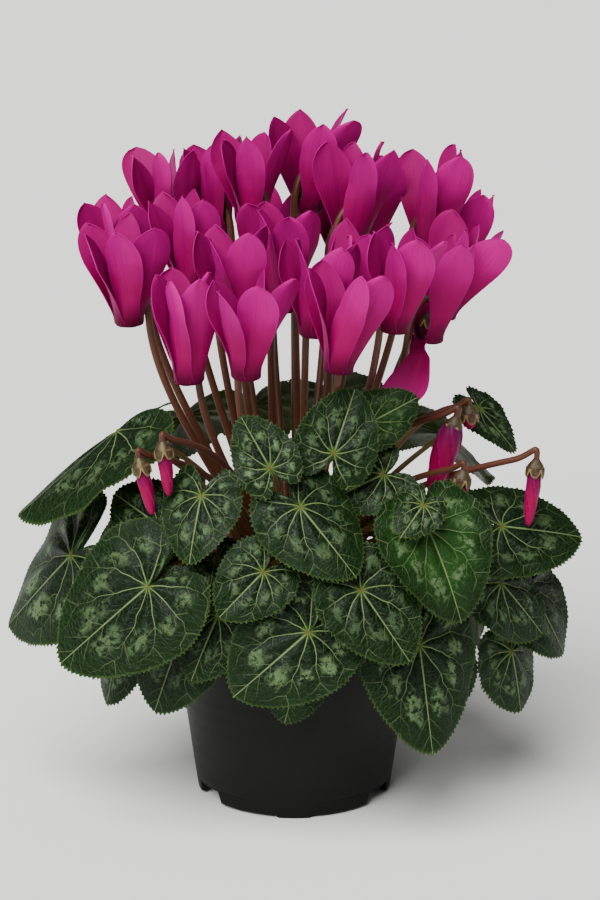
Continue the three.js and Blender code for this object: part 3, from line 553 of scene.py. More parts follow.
FOOT_TURNS = (0, 5, -5, 10, -10, 15, -15, 20, -20, 26, -26, 32, -32, 40, -40)


def place_feet(pairs):
    """Gives each pair of leaves one foot on the tuber, clear of the feet before it."""
    feet = []
    for twin, pair in enumerate(pairs):
        height = sum(leaf.height for leaf in pair) / len(pair)
        middle = sum(radial(leaf.azimuth) for leaf in pair)
        bearing = math.degrees(math.atan2(middle[1], middle[0]))
        reach = 21 + (200 - height) * 0.1
        stands = [radial(bearing + turn) * reach for turn in FOOT_TURNS]
        apart = ROOT_RADIUS * 2.15
        free = [s for s in stands if all(np.linalg.norm(s - f) > apart for f in feet)]
        stand = (free or stands)[0]
        feet.append(stand)
        foot = stand + UP * (TUBER_TOP + SEAT_GAP)
        side = np.cross(UP, unit(stand))
        for k, leaf in enumerate(pair):
            way = np.sign(side @ radial(leaf.azimuth)) or 1
            leaf.foot = foot
            leaf.twin = twin
            leaf.root = foot + side * way * 1.6 + UP * (1.5 + k * 0.4)


@functools.cache
def plant():
    """Places every bloom, stem, bud and leaf once, in the order that the solids are placed in."""
    blooms = [make_bloom(row, item) for item, row in enumerate(BLOOMS)]
    petals = Taken()
    place_blooms(blooms, petals)
    flowers = [bloom_flower(bloom) for bloom in blooms] + [bud_flower(row) for row in BUDS]
    stalks = Taken()
    for k, row in enumerate(BUDS):
        flower = flowers[len(blooms) + k]
        top = flower.calyx - flower.axis * CALYX_DEPTH
        samples = dotted(np.array((top, top - flower.axis * row[5])), STALK_STEP)
        petals.take(samples, len(blooms) + k)
        stalks.take(samples)
    place_stems(flowers, petals)
    for flower in flowers:
        stalks.take(dotted(stem_path(flower, flower.bow, 3, HOOK_BENDS), STALK_STEP))
    turns = np.radians(np.arange(90) * 4.0)
    for row in range(2):
        height = np.full(90, POT_HEIGHT - 1 - row * 4)
        reach = RIM_RADIUS - 1
        stalks.take(np.stack((reach * np.cos(turns), reach * np.sin(turns), height), axis=1))
    leaves = [make_leaf(row, item) for item, row in enumerate((*FRONT_LEAVES, *back_leaf_rows()))]
    pairs = [leaves[k : k + 2] for k in range(0, len(leaves), 2)]
    place_feet(pairs)
    place_leaves(leaves, stalks)
    return SimpleNamespace(blooms=blooms, flowers=flowers, pairs=pairs)


# Surfaces, each worked out on a grid of two parameters.


def grid_faces(rows, columns, wrap=False):
    """Quads of a grid of points, row by row; with wrap the last column joins the first."""
    index = np.arange(rows * columns).reshape(rows, columns)
    if wrap:
        index = np.concatenate((index, index[:, :1]), axis=1)
    corners = (index[:-1, :-1], index[:-1, 1:], index[1:, 1:], index[1:, :-1])
    return np.stack(corners, axis=-1).reshape(-1, 4)


def surface_normal(points):
    """Unit normals of a grid of points: the cross product of its column and row differences."""
    return unit(np.cross(np.gradient(points, axis=1), np.gradient(points, axis=0)))


def thin_shell(middle, thickness, traits):
    """A closed shell from a grid of points: the grid moved half the thickness along its normal
    to each side, with a strip round the edge.

    A trait is a grid of numbers; `front` is 1 on the side that the normal points to and 0 on the
    other.
    """
    rows, columns = middle.shape[:2]
    half = surface_normal(middle) * (np.asarray(thickness) / 2)[..., None]
    points = np.concatenate(((middle + half).reshape(-1, 3), (middle - half).reshape(-1, 3)))
    count = rows * columns
    front = grid_faces(rows, columns)
    index = np.arange(count).reshape(rows, columns)
    rim = np.concatenate((index[0, :-1], index[:-1, -1], index[-1, :0:-1], index[:0:-1, 0]))
    after = np.roll(rim, -1)
    edge = np.stack((rim + count, after + count, after, rim), axis=1)
    held = {"front": np.repeat((1.0, 0.0), count)[:, None] * np.ones(3)}
    for name, grid in traits.items():
        held[name] = np.tile(grid.reshape(-1, grid.shape[-1]), (2, 1))
    return SimpleNamespace(
        points=points,
        faces=[front, front[:, ::-1] + count, edge],
        traits=held,
        material=0,
    )


def turned(origin, axis, across, radii, heights, columns, material=0, wave=None):
    """A profile of radii and heights turned about an axis. Its ends meet on the axis where the
    radius is nothing, and are welded there. Wave multiplies the radii over rows and columns."""
    axis = unit(axis)
    x = unit(across - axis * (across @ axis))
    y = np.cross(axis, x)
    turn = np.arange(columns) / columns * 2 * math.pi
    spokes = x * np.cos(turn)[:, None] + y * np.sin(turn)[:, None]
    reach = np.asarray(radii, float)[:, None] * (1 if wave is None else wave)
    reach = np.broadcast_to(reach, (len(radii), columns))
    points = origin + spokes * reach[..., None] + axis * np.asarray(heights, float)[:, None, None]
    share = np.linspace(0, 1, len(radii))[:, None]
    trait = np.stack(np.broadcast_arrays(share, np.cos(turn), np.sin(turn)), axis=-1)
    return SimpleNamespace(
        points=points.reshape(-1, 3),
        faces=[grid_faces(len(radii), columns, wrap=True)],
        traits={"place": trait.reshape(-1, 3)},
        material=material,
    )


def tube(path, radii, aside, sides, draw_number, material=0):
    """A round section carried along a path and closed at its ends. The section's first spoke is
    the direction aside made square to the path at each point."""
    way = unit(np.gradient(path, axis=0))
    first = unit(aside - way * (way @ aside)[:, None])
    second = np.cross(way, first)
    turn = np.arange(sides) / sides * 2 * math.pi
    spokes = first[:, None] * np.cos(turn)[:, None] + second[:, None] * np.sin(turn)[:, None]
    ring = path[:, None] + spokes * np.asarray(radii)[:, None, None]
    first, last = path[:1, None].repeat(sides, 1), path[-1:, None].repeat(sides, 1)
    ends = np.concatenate((first, ring, last))
    share = np.linspace(0, 1, len(ends))[:, None]
    trait = np.stack(np.broadcast_arrays(share, draw_number, np.cos(turn)), axis=-1)
    return SimpleNamespace(
        points=ends.reshape(-1, 3),
        faces=[grid_faces(len(ends), sides, wrap=True)],
        traits={"place": trait.reshape(-1, 3)},
        material=material,
    )


def make_piece(name, parts, materials, node, sharp=50):
    """Joins parts into one mesh in metres, with their traits as attributes of its points."""
    counts = [len(part.points) for part in parts]
    starts = np.cumsum([0, *counts[:-1]])
    corners, sizes, numbers = [], [], []
    for part, start in zip(parts, starts):
        for faces in part.faces:
            corners.append((faces + start).ravel())
            sizes.append(np.full(len(faces), faces.shape[1]))
            numbers.append(np.full(len(faces), part.material))
    corners, sizes, numbers = map(np.concatenate, (corners, sizes, numbers))
    mesh = bpy.data.meshes.new(name)
    mesh.vertices.add(sum(counts))
    points = np.concatenate([part.points for part in parts]) / METRE
    mesh.vertices.foreach_set("co", points.astype(np.float32).ravel())
    mesh.loops.add(len(corners))
    mesh.loops.foreach_set("vertex_index", corners.astype(np.int32))
    mesh.polygons.add(len(sizes))
    mesh.polygons.foreach_set("loop_start", (np.cumsum(sizes) - sizes).astype(np.int32))
    mesh.polygons.foreach_set("material_index", numbers.astype(np.int32))
    for trait in sorted({key for part in parts for key in part.traits}):
        values = [part.traits.get(trait, np.zeros((len(part.points), 3))) for part in parts]
        attribute = mesh.attributes.new(trait, "FLOAT_VECTOR", "POINT")
        attribute.data.foreach_set("vector", np.concatenate(values).astype(np.float32).ravel())
    mesh.update(calc_edges=True)
    weld = bmesh.new()
    weld.from_mesh(mesh)
    bmesh.ops.remove_doubles(weld, verts=weld.verts, dist=1e-6)
    bmesh.ops.dissolve_degenerate(weld, edges=weld.edges, dist=1e-7)
    weld.to_mesh(mesh)
    weld.free()
    mesh.polygons.foreach_set("use_smooth", np.ones(len(mesh.polygons), bool))
    mesh.set_sharp_from_angle(angle=math.radians(sharp))
    piece = bpy.data.objects.new(name, mesh)
    bpy.context.scene.collection.objects.link(piece)
    for material in materials:
        mesh.materials.append(material)
    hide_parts(node)
    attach(piece, "root")


def inside_radius(height):
    """The pot's inner radius at a height."""
    rise = height / (POT_HEIGHT - RIM_DEPTH - 1)
    return POT_BASE_RADIUS - POT_WALL + (POT_WALL_TOP_RADIUS - POT_BASE_RADIUS) * rise


def skirt_bottom(azimuth):
    """Height of the skirt's lower edge: feet, low lobes beside them and notches between."""
    fold = np.abs((azimuth - FOOT_BEARINGS[0] + 60) % 120 - 60)
    notch = 60 - NOTCH_HALF_ANGLE
    at = (FOOT_HALF_ANGLE - 0.4, FOOT_HALF_ANGLE + 0.4, notch - 0.4, notch + 0.4)
    return np.interp(fold, at, (0, FOOT_HEIGHT, FOOT_HEIGHT, NOTCH_HEIGHT))


def pot_wall():
    """The pot's wall as one band, from the floor's underside down the skirt, up the outside, over
    the rim and down to the floor: a profile turned about Z, its lower edge following the skirt."""
    azimuth = np.arange(POT_COLUMNS) * 360.0 / POT_COLUMNS
    bottom = skirt_bottom(azimuth)
    slope = (POT_WALL_TOP_RADIUS - POT_BASE_RADIUS) / (POT_HEIGHT - RIM_DEPTH - 1)
    wall_top = POT_HEIGHT - RIM_DEPTH
    inside = POT_WALL_TOP_RADIUS - POT_WALL
    rows = [
        (FLOOR_UNDER_RADIUS, FLOOR_BOTTOM),
        (47.0, FLOOR_BOTTOM - 0.25),
        (46.6 + 0.075 * bottom + 0.1, bottom + 0.1),
        (46.9 + 0.075 * bottom, bottom),
        (POT_BASE_RADIUS + slope * bottom - 0.35, bottom),
        (POT_BASE_RADIUS + slope * bottom - 0.05, bottom + 0.2),
    ]
    groove = ((8.3, 0), (8.6, -0.14), (9.0, -0.14), (9.3, 0), (9.9, 0))
    rows += [(POT_BASE_RADIUS + slope * height + sunk, height) for height, sunk in groove]
    belly = np.linspace(14, wall_top - 1.6, 20)
    rows += [(POT_BASE_RADIUS + slope * height, height) for height in belly]
    rows += [
        (POT_WALL_TOP_RADIUS + 0.05, wall_top - 1.1),
        (POT_WALL_TOP_RADIUS + 0.5, wall_top - 0.5),
        (RIM_RADIUS - 1.1, wall_top - 0.15),
        (RIM_RADIUS - 0.75, wall_top + 0.05),
        (RIM_RADIUS - 0.55, wall_top + 0.5),
        (RIM_RADIUS - 0.4, wall_top + 4),
        (RIM_RADIUS - 0.1, POT_HEIGHT - 1.2),
        (RIM_RADIUS - 0.12, POT_HEIGHT - 0.5),
        (RIM_RADIUS - 0.4, POT_HEIGHT - 0.12),
        (RIM_RADIUS - 0.8, POT_HEIGHT),
        (RIM_RADIUS - 1.6, POT_HEIGHT),
        (RIM_RADIUS - 2.0, POT_HEIGHT - 0.15),
        (RIM_RADIUS - 2.2, POT_HEIGHT - 0.6),
        (inside + 0.3, wall_top + 0.5),
        (inside, wall_top - 1),
    ]
    rows += [(inside_radius(height), height) for height in np.linspace(95, FLOOR_TOP, 8)]
    radius = np.array([np.broadcast_to(row[0], bottom.shape) for row in rows])
    height = np.array([np.broadcast_to(row[1], bottom.shape) for row in rows])
    turn = np.radians(azimuth)
    points = np.stack((radius * np.cos(turn), radius * np.sin(turn), height), axis=-1)
    return SimpleNamespace(
        points=points.reshape(-1, 3),
        faces=[grid_faces(len(rows), POT_COLUMNS, wrap=True)],
        traits={},
        material=0,
    )


def pot_floor():
    """The floor in three wedges, each a grid between its drain hole and its own outline.

    A grid point is drawn out from the hole's edge towards the wedge's outline, so the wedges and
    the wall meet point for point.
    """
    parts = []
    for bearing in (bearing + 60 for bearing in FOOT_BEARINGS):
        drain = radial(bearing) * DRAIN_REACH
        arc = np.radians(np.arange(bearing - 60, bearing + 61, 360 // POT_COLUMNS, dtype=float))
        inwards = np.linspace(1, 0, 13)[1:, None]
        share = np.array((0, 0.12, 0.35, 0.65, 1.0))[:, None, None]
        plates = []
        levels = ((inside_radius(FLOOR_TOP), FLOOR_TOP), (FLOOR_UNDER_RADIUS, FLOOR_BOTTOM))
        for outer, height in levels:
            rim = np.stack((np.cos(arc), np.sin(arc), arc * 0), axis=1) * outer
            edge = np.concatenate((rim, rim[-1] * inwards, rim[0] * inwards[::-1][1:]))
            hole = drain + unit(edge - drain) * DRAIN_RADIUS
            plates.append(hole * (1 - share) + edge * share + UP * height)
        rows, columns = plates[0].shape[:2]
        count = rows * columns
        top = grid_faces(rows, columns, wrap=True)[:, ::-1]
        ring = np.arange(columns)
        after = np.roll(ring, -1)
        wall = np.stack((ring, after, after + count, ring + count), axis=1)
        parts.append(SimpleNamespace(
            points=np.concatenate([plate.reshape(-1, 3) for plate in plates]),
            faces=[top, top[:, ::-1] + count, wall],
            traits={},
            material=0,
        ))
    return parts


def lumps(rows, columns, passes, seed):
    """Random heights between about -1 and 1, smoothed along rows and round columns."""
    heights = np.random.default_rng(seed).normal(size=(rows, columns))
    for _ in range(passes):
        beside = np.roll(heights, 1, 1) + np.roll(heights, -1, 1)
        heights = (heights + beside + np.roll(heights, 1, 0) + np.roll(heights, -1, 0)) / 5
    return heights / np.abs(heights).max()


def soil_body():
    """Soil as a profile turned about Z, its top surface raised and lowered in lumps."""

    def edge(height):
        """The fill's radius at a height."""
        return inside_radius(height) - SEAT_GAP

    columns = 216
    height = TUBER_TOP - TUBER_BOTTOM
    share = np.linspace(0, 1, 26)
    top_radius = edge(SOIL_TOP) * (1 - share) + (TUBER_RADIUS + SEAT_GAP) * share
    top_height = np.interp(share, (0, 0.5, 1), (SOIL_TOP - 1.5, SOIL_TOP, SOIL_TOP - 1))
    low, seat = FLOOR_TOP + SEAT_GAP, TUBER_BOTTOM - SEAT_GAP
    below = ((0, low), (edge(FLOOR_TOP), low), (edge(60), 60))
    hollow = (
        (TUBER_RADIUS + SEAT_GAP, seat + height * 0.64),
        (TUBER_RADIUS * 0.93 + 0.2, seat + height * 0.36),
        (TUBER_RADIUS * 0.66 + 0.2, seat + height * 0.08),
        (0, seat),
    )
    radii, heights = np.concatenate((below, np.stack((top_radius, top_height), axis=1), hollow)).T
    body = turned(np.zeros(3), UP, radial(0), radii, heights, columns)
    crumbs = lumps(len(share), columns, 1, 5) * 1.3 + lumps(len(share), columns, 9, 6) * 1.4
    raised = np.zeros((len(radii), columns))
    raised[len(below) : len(below) + len(share)] = crumbs * np.sin(np.pi * share)[:, None] ** 0.4
    body.points[:, 2] += raised.ravel()
    return body


def tuber_body():
    """The tuber as a profile turned about Z, with a corky, slightly lumpy side and crown."""
    height = TUBER_TOP - TUBER_BOTTOM
    shares = (0.66, 0.93, 1, 0.985, 0.95, 0.88, 0.75, 0.6, 0.45, 0.3, 0.15)
    radii = (0, 14, *(TUBER_RADIUS * share for share in shares), 0)
    side = (0, 0.5, 0.08 * height, 0.36 * height, 0.64 * height)
    crown = (2.6, 1.2, 0.5, 0.1, 0.3, 0.1, 0.2, 0, 0)
    heights = (*side, *(height - drop for drop in crown))
    columns = 120
    wave = 1 + lumps(len(radii), columns, 6, 8) * 0.02
    return turned(UP * TUBER_BOTTOM, UP, radial(0), radii, heights, columns, wave=wave)


def petal_surface(bloom, k, breadth):
    """One petal as a thin shell.

    Six rows come out of the tube and round the mouth's rim. Then the middle line of petal_spine
    carries a section that is bent round the tube at its foot and opens, with a shallow groove,
    wavy edges and a blunt or pointed tip that leans in or out. The hanging petal comes out of the
    tube and goes straight down.
    """
    draws = bloom.item * 5 + k
    hangs = (bloom.item, k) == HANGING_PETAL
    fold = np.radians(np.array((180.0, 135.0, 90.0, 45.0)))
    fold_radius = np.concatenate(((3.5, 4.25), 5.65 + 0.95 * np.cos(fold)))
    fold_height = np.concatenate(((6.2, 2.6), -1.15 * np.sin(fold)))
    if hangs:
        fold_radius = np.array((3.5, 4.25, 4.35, 4.45, 4.55, 4.6))
        fold_height = np.array((6.2, 2.6, 2.1, 1.7, 1.4, 1.1))
    share = np.linspace(0, 1, 23)
    t = 0.9996 * (share * 0.55 + 0.45 * np.sin(share * math.pi / 2) ** 1.2)
    settled = np.clip(t / 0.22, 0, 1)
    settled = settled * settled * (3 - 2 * settled)
    final = PETAL_BEARINGS[k] + spread(draws, 23, 3)
    bearing = BASE_BEARINGS[k] * (1 - settled) + final * settled
    spine, across, normal, half = petal_spine(bloom, k, t, bearing)
    out = around(bloom, bearing)
    if hangs:
        spine = spine - bloom.axis * (1.5 - 1.5 * np.exp(-40 * t))[:, None]
    else:
        spine = spine + out * (2.0 * np.exp(-14 * t))[:, None]
        spine = spine - bloom.axis * (0.8 * np.exp(-14 * t))[:, None]
    pointed = (1 - t**3.4) ** (0.4 * draw(draws, 34))
    half = breadth * half * pointed + 1.6 * np.exp(-t / 0.05)
    base_out = around(bloom, np.full(len(fold_radius), BASE_BEARINGS[k]))
    base_side = np.cross(bloom.axis, base_out)
    base = bloom.mouth + base_out * fold_radius[:, None] + bloom.axis * fold_height[:, None]
    spine = np.concatenate((base, spine))
    across = np.concatenate((base_side, across))
    normal = np.concatenate((base_out, normal))
    half = np.concatenate((fold_radius * 0.61, half))[:, None]
    t = np.concatenate((np.zeros(len(fold_radius)), t))[:, None]
    s = np.sin(np.linspace(-1, 1, 15) * math.pi / 2)[None]
    s = s * 0.75 + np.linspace(-1, 1, 15)[None] * 0.25
    cup = -(0.16 + 0.18 * np.exp(-t / 0.08)) * half * s * s
    groove = -0.45 * np.exp(-((s / 0.13) ** 2)) * np.sin(math.pi * np.clip(t, 0, 1)) ** 0.7
    ripple = np.sin(2 * math.pi * (1.1 * t + draw(draws, 31)) + s * 1.4)
    wavy = 1.1 * ripple * t * np.abs(s) ** 1.5
    lean = spread(draws, 32, 3.0) * t**3
    rise = cup + groove + wavy + lean
    middle = spine[:, None] + across[:, None] * (half * s)[..., None]
    middle = middle + normal[:, None] * rise[..., None]
    thick = 0.95 - 0.35 * np.minimum(1, t * 2) - 0.25 * np.abs(s) ** 3
    shade = np.stack(np.broadcast_arrays(s, t, np.full_like(t, draw(draws, 33))), axis=-1)
    return thin_shell(middle, thick, {"petal": shade})


def bloom_tube(bloom):
    """The short tube behind the petals: a closed profile turned about the bloom's axis, with its
    hollow throat below and the style standing in it."""
    radii = (0, 0.35, 0.45, 0.5, 2.9, 3.4, 4.2, 4.9, 5.6, 6.1, 6.2, 5.9, 5.4, 5.0, 4.6, 0)
    heights = (0.6, 0.7, 2.0, 6.6, 6.9, 6.2, 3.0, 0.6, -0.2, 0.2, 1.2, 3.4, 5.6, 7.4, 9.0, 9.1)
    return turned(bloom.mouth, bloom.axis, bloom.inner, radii, heights, 30, material=1)


def bud_petals(row, flower, item):
    """A bud's petals, rolled round each other: a spindle whose radius steps down at five edges
    that wind down it, r = girth p(t) (1 + depth (fraction(5 a + turns t) - 1/2))."""
    *_, length, girth, _ = row
    t = 1 - (1 - np.linspace(0, 1, 30)) ** 1.15
    swell = np.interp(t, (0, 0.12, 0.3, 0.5, 0.7, 0.88, 1), (0.66, 0.9, 1.0, 0.93, 0.8, 0.62, 0.5))
    closed = (1 - t**14) ** 0.5
    columns = 60
    sunk = 1.2
    turn = np.arange(columns) / columns
    winding = (5 * turn[None] + 1.9 * t[:, None] + draw(item, 41)) % 1.0
    depth = 0.16 * np.sin(np.pi * np.clip(t * 0.9 + 0.1, 0, 1))[:, None] ** 0.5
    wave = np.concatenate((np.ones((1, columns)), 1 + depth * (winding**0.8 - 0.5)))
    top = flower.calyx - flower.axis * (CALYX_DEPTH + SEAT_GAP - sunk)
    radii = np.concatenate(((0,), girth * swell * closed))
    share = np.concatenate(((0,), t))
    aside = flower.root - flower.calyx
    part = turned(top, -flower.axis, aside, radii, share * (length + sunk), columns, wave=wave)
    edge = np.concatenate((np.zeros((1, columns)), winding))
    trait = np.stack(np.broadcast_arrays(edge * 2 - 1, share[:, None], draw(item, 42)), axis=-1)
    part.traits = {"petal": trait.reshape(-1, 3)}
    return part


def calyx_parts(flower, is_bud, item):
    """A calyx: a cup that swells from the stem's end, and five pointed sepals below it that hug
    the flower, each a thin shell whose half width falls to a point."""
    down = -flower.axis
    aside = flower.root - flower.calyx
    width = 4.3 if is_bud else 4.9
    t = np.linspace(0, 1, 9)
    radii = 1.75 + (width - 1.75) * np.sin(t * math.pi / 2) ** 1.3
    heights = -0.6 + t * (CALYX_DEPTH + 0.4)
    radii = np.concatenate(((0,), radii, (width - 1.2, 0)))
    heights = np.concatenate(((-0.6,), heights, (heights[-1] + 0.1, heights[-1] - 0.1)))
    columns = 40
    lobes = np.cos(5 * np.arange(columns) / columns * 2 * math.pi)
    wave = 1 + 0.045 * lobes * np.clip(heights / 4, 0, 1)[:, None]
    cup = turned(flower.calyx, down, aside, radii, heights, columns, wave=wave)
    x = unit(aside - down * (aside @ down))
    y = np.cross(down, x)
    parts = [cup]
    v = np.linspace(0, 1, 9)[:, None]
    u = np.linspace(1, -1, 9)[None]
    reach = width + 0.12 + (0.25 if is_bud else 0.5) * np.sin(v * 2.6) - 0.5 * v**2
    spoke = math.pi / 5 * 1.02 * (1 - v**1.6) ** 0.9 * u
    trait = np.stack(np.broadcast_arrays(v, u, 1.0), axis=-1)
    thick = np.full(spoke.shape, 0.45)
    for k in range(5):
        angle = (k + 0.5) / 5 * 2 * math.pi + spoke
        height = CALYX_DEPTH - 0.7 + v * (5.6 + spread(item * 5 + k, 43, 0.5))
        middle = flower.calyx + x * (reach * np.cos(angle))[..., None]
        middle = middle + y * (reach * np.sin(angle))[..., None] + down * height[..., None]
        parts.append(thin_shell(middle, thick, {"place": trait}))
    return parts


def blade_surface(leaf, form):
    """A leaf's blade as a closed disc: rings about its junction out to a toothed outline.

    Columns lie at equal steps of the outline's length, four to a tooth. A point is blade_point at
    reach times ring share, with a gentle wave that grows with the cube of that share.
    """
    fine = np.linspace(-math.pi, math.pi, 2001)
    reach = outline_reach(fine)
    line = np.stack((reach * np.cos(fine), reach * np.sin(fine)), axis=1)
    run = np.concatenate(((0,), np.cumsum(np.linalg.norm(np.diff(line, axis=0), axis=1))))
    teeth = max(24, round(run[-1] * leaf.midrib / TOOTH_PITCH))
    columns = teeth * 4
    angle = np.interp(np.arange(columns) / columns * run[-1], run, fine)
    rng = np.random.default_rng(900 + leaf.item)
    jag = np.repeat(0.55 + 0.75 * rng.random(teeth), 4) * np.tile((0.0, 0.5, 1.0, 0.25), teeth)
    ring = np.concatenate((np.linspace(0, 0.86, 8)[1:], (0.95,)))
    share = np.concatenate((ring, (1.0,)))[:, None] * np.ones(columns)
    out = outline_reach(angle) * share
    out[-1] += form.tooth_height * METRE / leaf.midrib * (jag - 0.25)
    forward, sideways = out * np.cos(angle), out * np.sin(angle)
    waves = 3 + int(draw(leaf.item, 12) * 3)
    ruffle = form.blade_ruffle * np.sin(waves * angle + 6 * draw(leaf.item, 13)) * share**3
    ruffle = ruffle + 0.010 * np.sin(11 * angle + 5 * draw(leaf.item, 14)) * share**4
    quilt = -0.014 * np.cos((angle + 0.5 * sideways) / VEIN_STEP * 2 * math.pi)
    ruffle = ruffle + quilt * np.sin(np.clip(share * 1.05, 0, 1) * math.pi) ** 0.8
    middle = blade_point(leaf, forward, sideways) + leaf.normal * (ruffle * leaf.midrib)[..., None]
    half = (0.62 - 0.22 * share)[..., None] / 2 * leaf.normal
    rows = len(share)
    count = rows * columns + 1
    poles = leaf.junction + np.outer((0.31, -0.31), leaf.normal)
    upper, under = (middle + half).reshape(-1, 3), (middle - half).reshape(-1, 3)
    points = np.concatenate((upper, poles[:1], under, poles[1:]))
    over = grid_faces(rows, columns, wrap=True)[:, ::-1]
    first = np.arange(columns)
    fan = np.stack((np.full(columns, count - 1), first, np.roll(first, -1)), axis=1)
    rim = first + (rows - 1) * columns
    after = np.roll(rim, -1)
    edge = np.stack((rim + count, after + count, after, rim), axis=1)
    place = np.stack((forward, sideways, share), axis=-1).reshape(-1, 3)
    place = np.concatenate((place, np.zeros((1, 3))))
    tone = np.array((draw(leaf.item, 15), leaf.midrib / 100, draw(leaf.item, 16)))
    return SimpleNamespace(
        points=points,
        faces=[over, fan, over[:, ::-1] + count, fan[:, ::-1] + count, edge],
        traits={
            "blade": np.tile(place, (2, 1)),
            "tone": np.tile(tone, (2 * count, 1)),
            "front": np.repeat((1.0, 0.0), count)[:, None] * np.ones(3),
        },
        material=0,
    )


def leaf_parts(leaf, form):
    """The blade, and the petiole that comes up under its junction."""
    path = petiole_path(leaf, leaf.way, 22)
    path[-1] = leaf.junction - leaf.normal * 0.75
    radii = np.linspace(1.85, 1.3, len(path))
    radii[-1] = 1.15
    radii[:3] += (0.9, 0.5, 0.2)
    aside = np.cross(UP, radial(leaf.azimuth))
    petiole = tube(path, radii, aside, 8, draw(leaf.item, 17), material=1)
    return [blade_surface(leaf, form), petiole]


def root_knob(leaf):
    """The short knob on the tuber that a pair's petioles share."""
    heights = np.array((-1.5, 0, 2, 3.6, 4.6, 4.9))
    path = leaf.foot + UP * heights[:, None]
    return tube(path, (3.2, 3.1, 2.9, 2.5, 1.6, 0.4), radial(0), 12, 0.5, material=1)


# Materials, with colours in sRGB hex and pattern scales from sizes in metres or millimetres.


def linear(code):
    """An sRGB hex colour as linear red, green, blue and alpha."""
    value = np.array([int(code[k : k + 2], 16) for k in (1, 3, 5)]) / 255
    value = np.where(value <= 0.04045, value / 12.92, ((value + 0.055) / 1.055) ** 2.4)
    return (*value.tolist(), 1.0)


def add(tree, kind, inputs=None, **settings):
    """Adds a shader node. An input is a number or colour, a socket, or a node, which gives its
    first live output."""
    node = tree.nodes.new("ShaderNode" + kind)
    for name, value in settings.items():
        setattr(node, name, value)
    for name, value in (inputs or {}).items():
        if isinstance(value, bpy.types.Node):
            value = next(socket for socket in value.outputs if socket.enabled)
        if isinstance(value, bpy.types.NodeSocket):
            tree.links.new(value, node.inputs[name])
        else:
            node.inputs[name].default_value = value
    return node


def start_material(name, **constants):
    """A material with one Principled shader, whose constants go straight on its sockets."""
    material = bpy.data.materials.new(name)
    material.use_nodes = True
    tree = material.node_tree
    shader = tree.nodes["Principled BSDF"]
    for socket, value in constants.items():
        shader.inputs[socket.replace("_", " ")].default_value = value
    return material, tree, shader


def finish_bump(tree, shader, height, distance, strength=1.0):
    """Turns a height pattern into bump of a depth in metres."""
    bump = add(tree, "Bump", {"Height": height, "Distance": distance, "Strength": strength})
    tree.links.new(bump.outputs["Normal"], shader.inputs["Normal"])


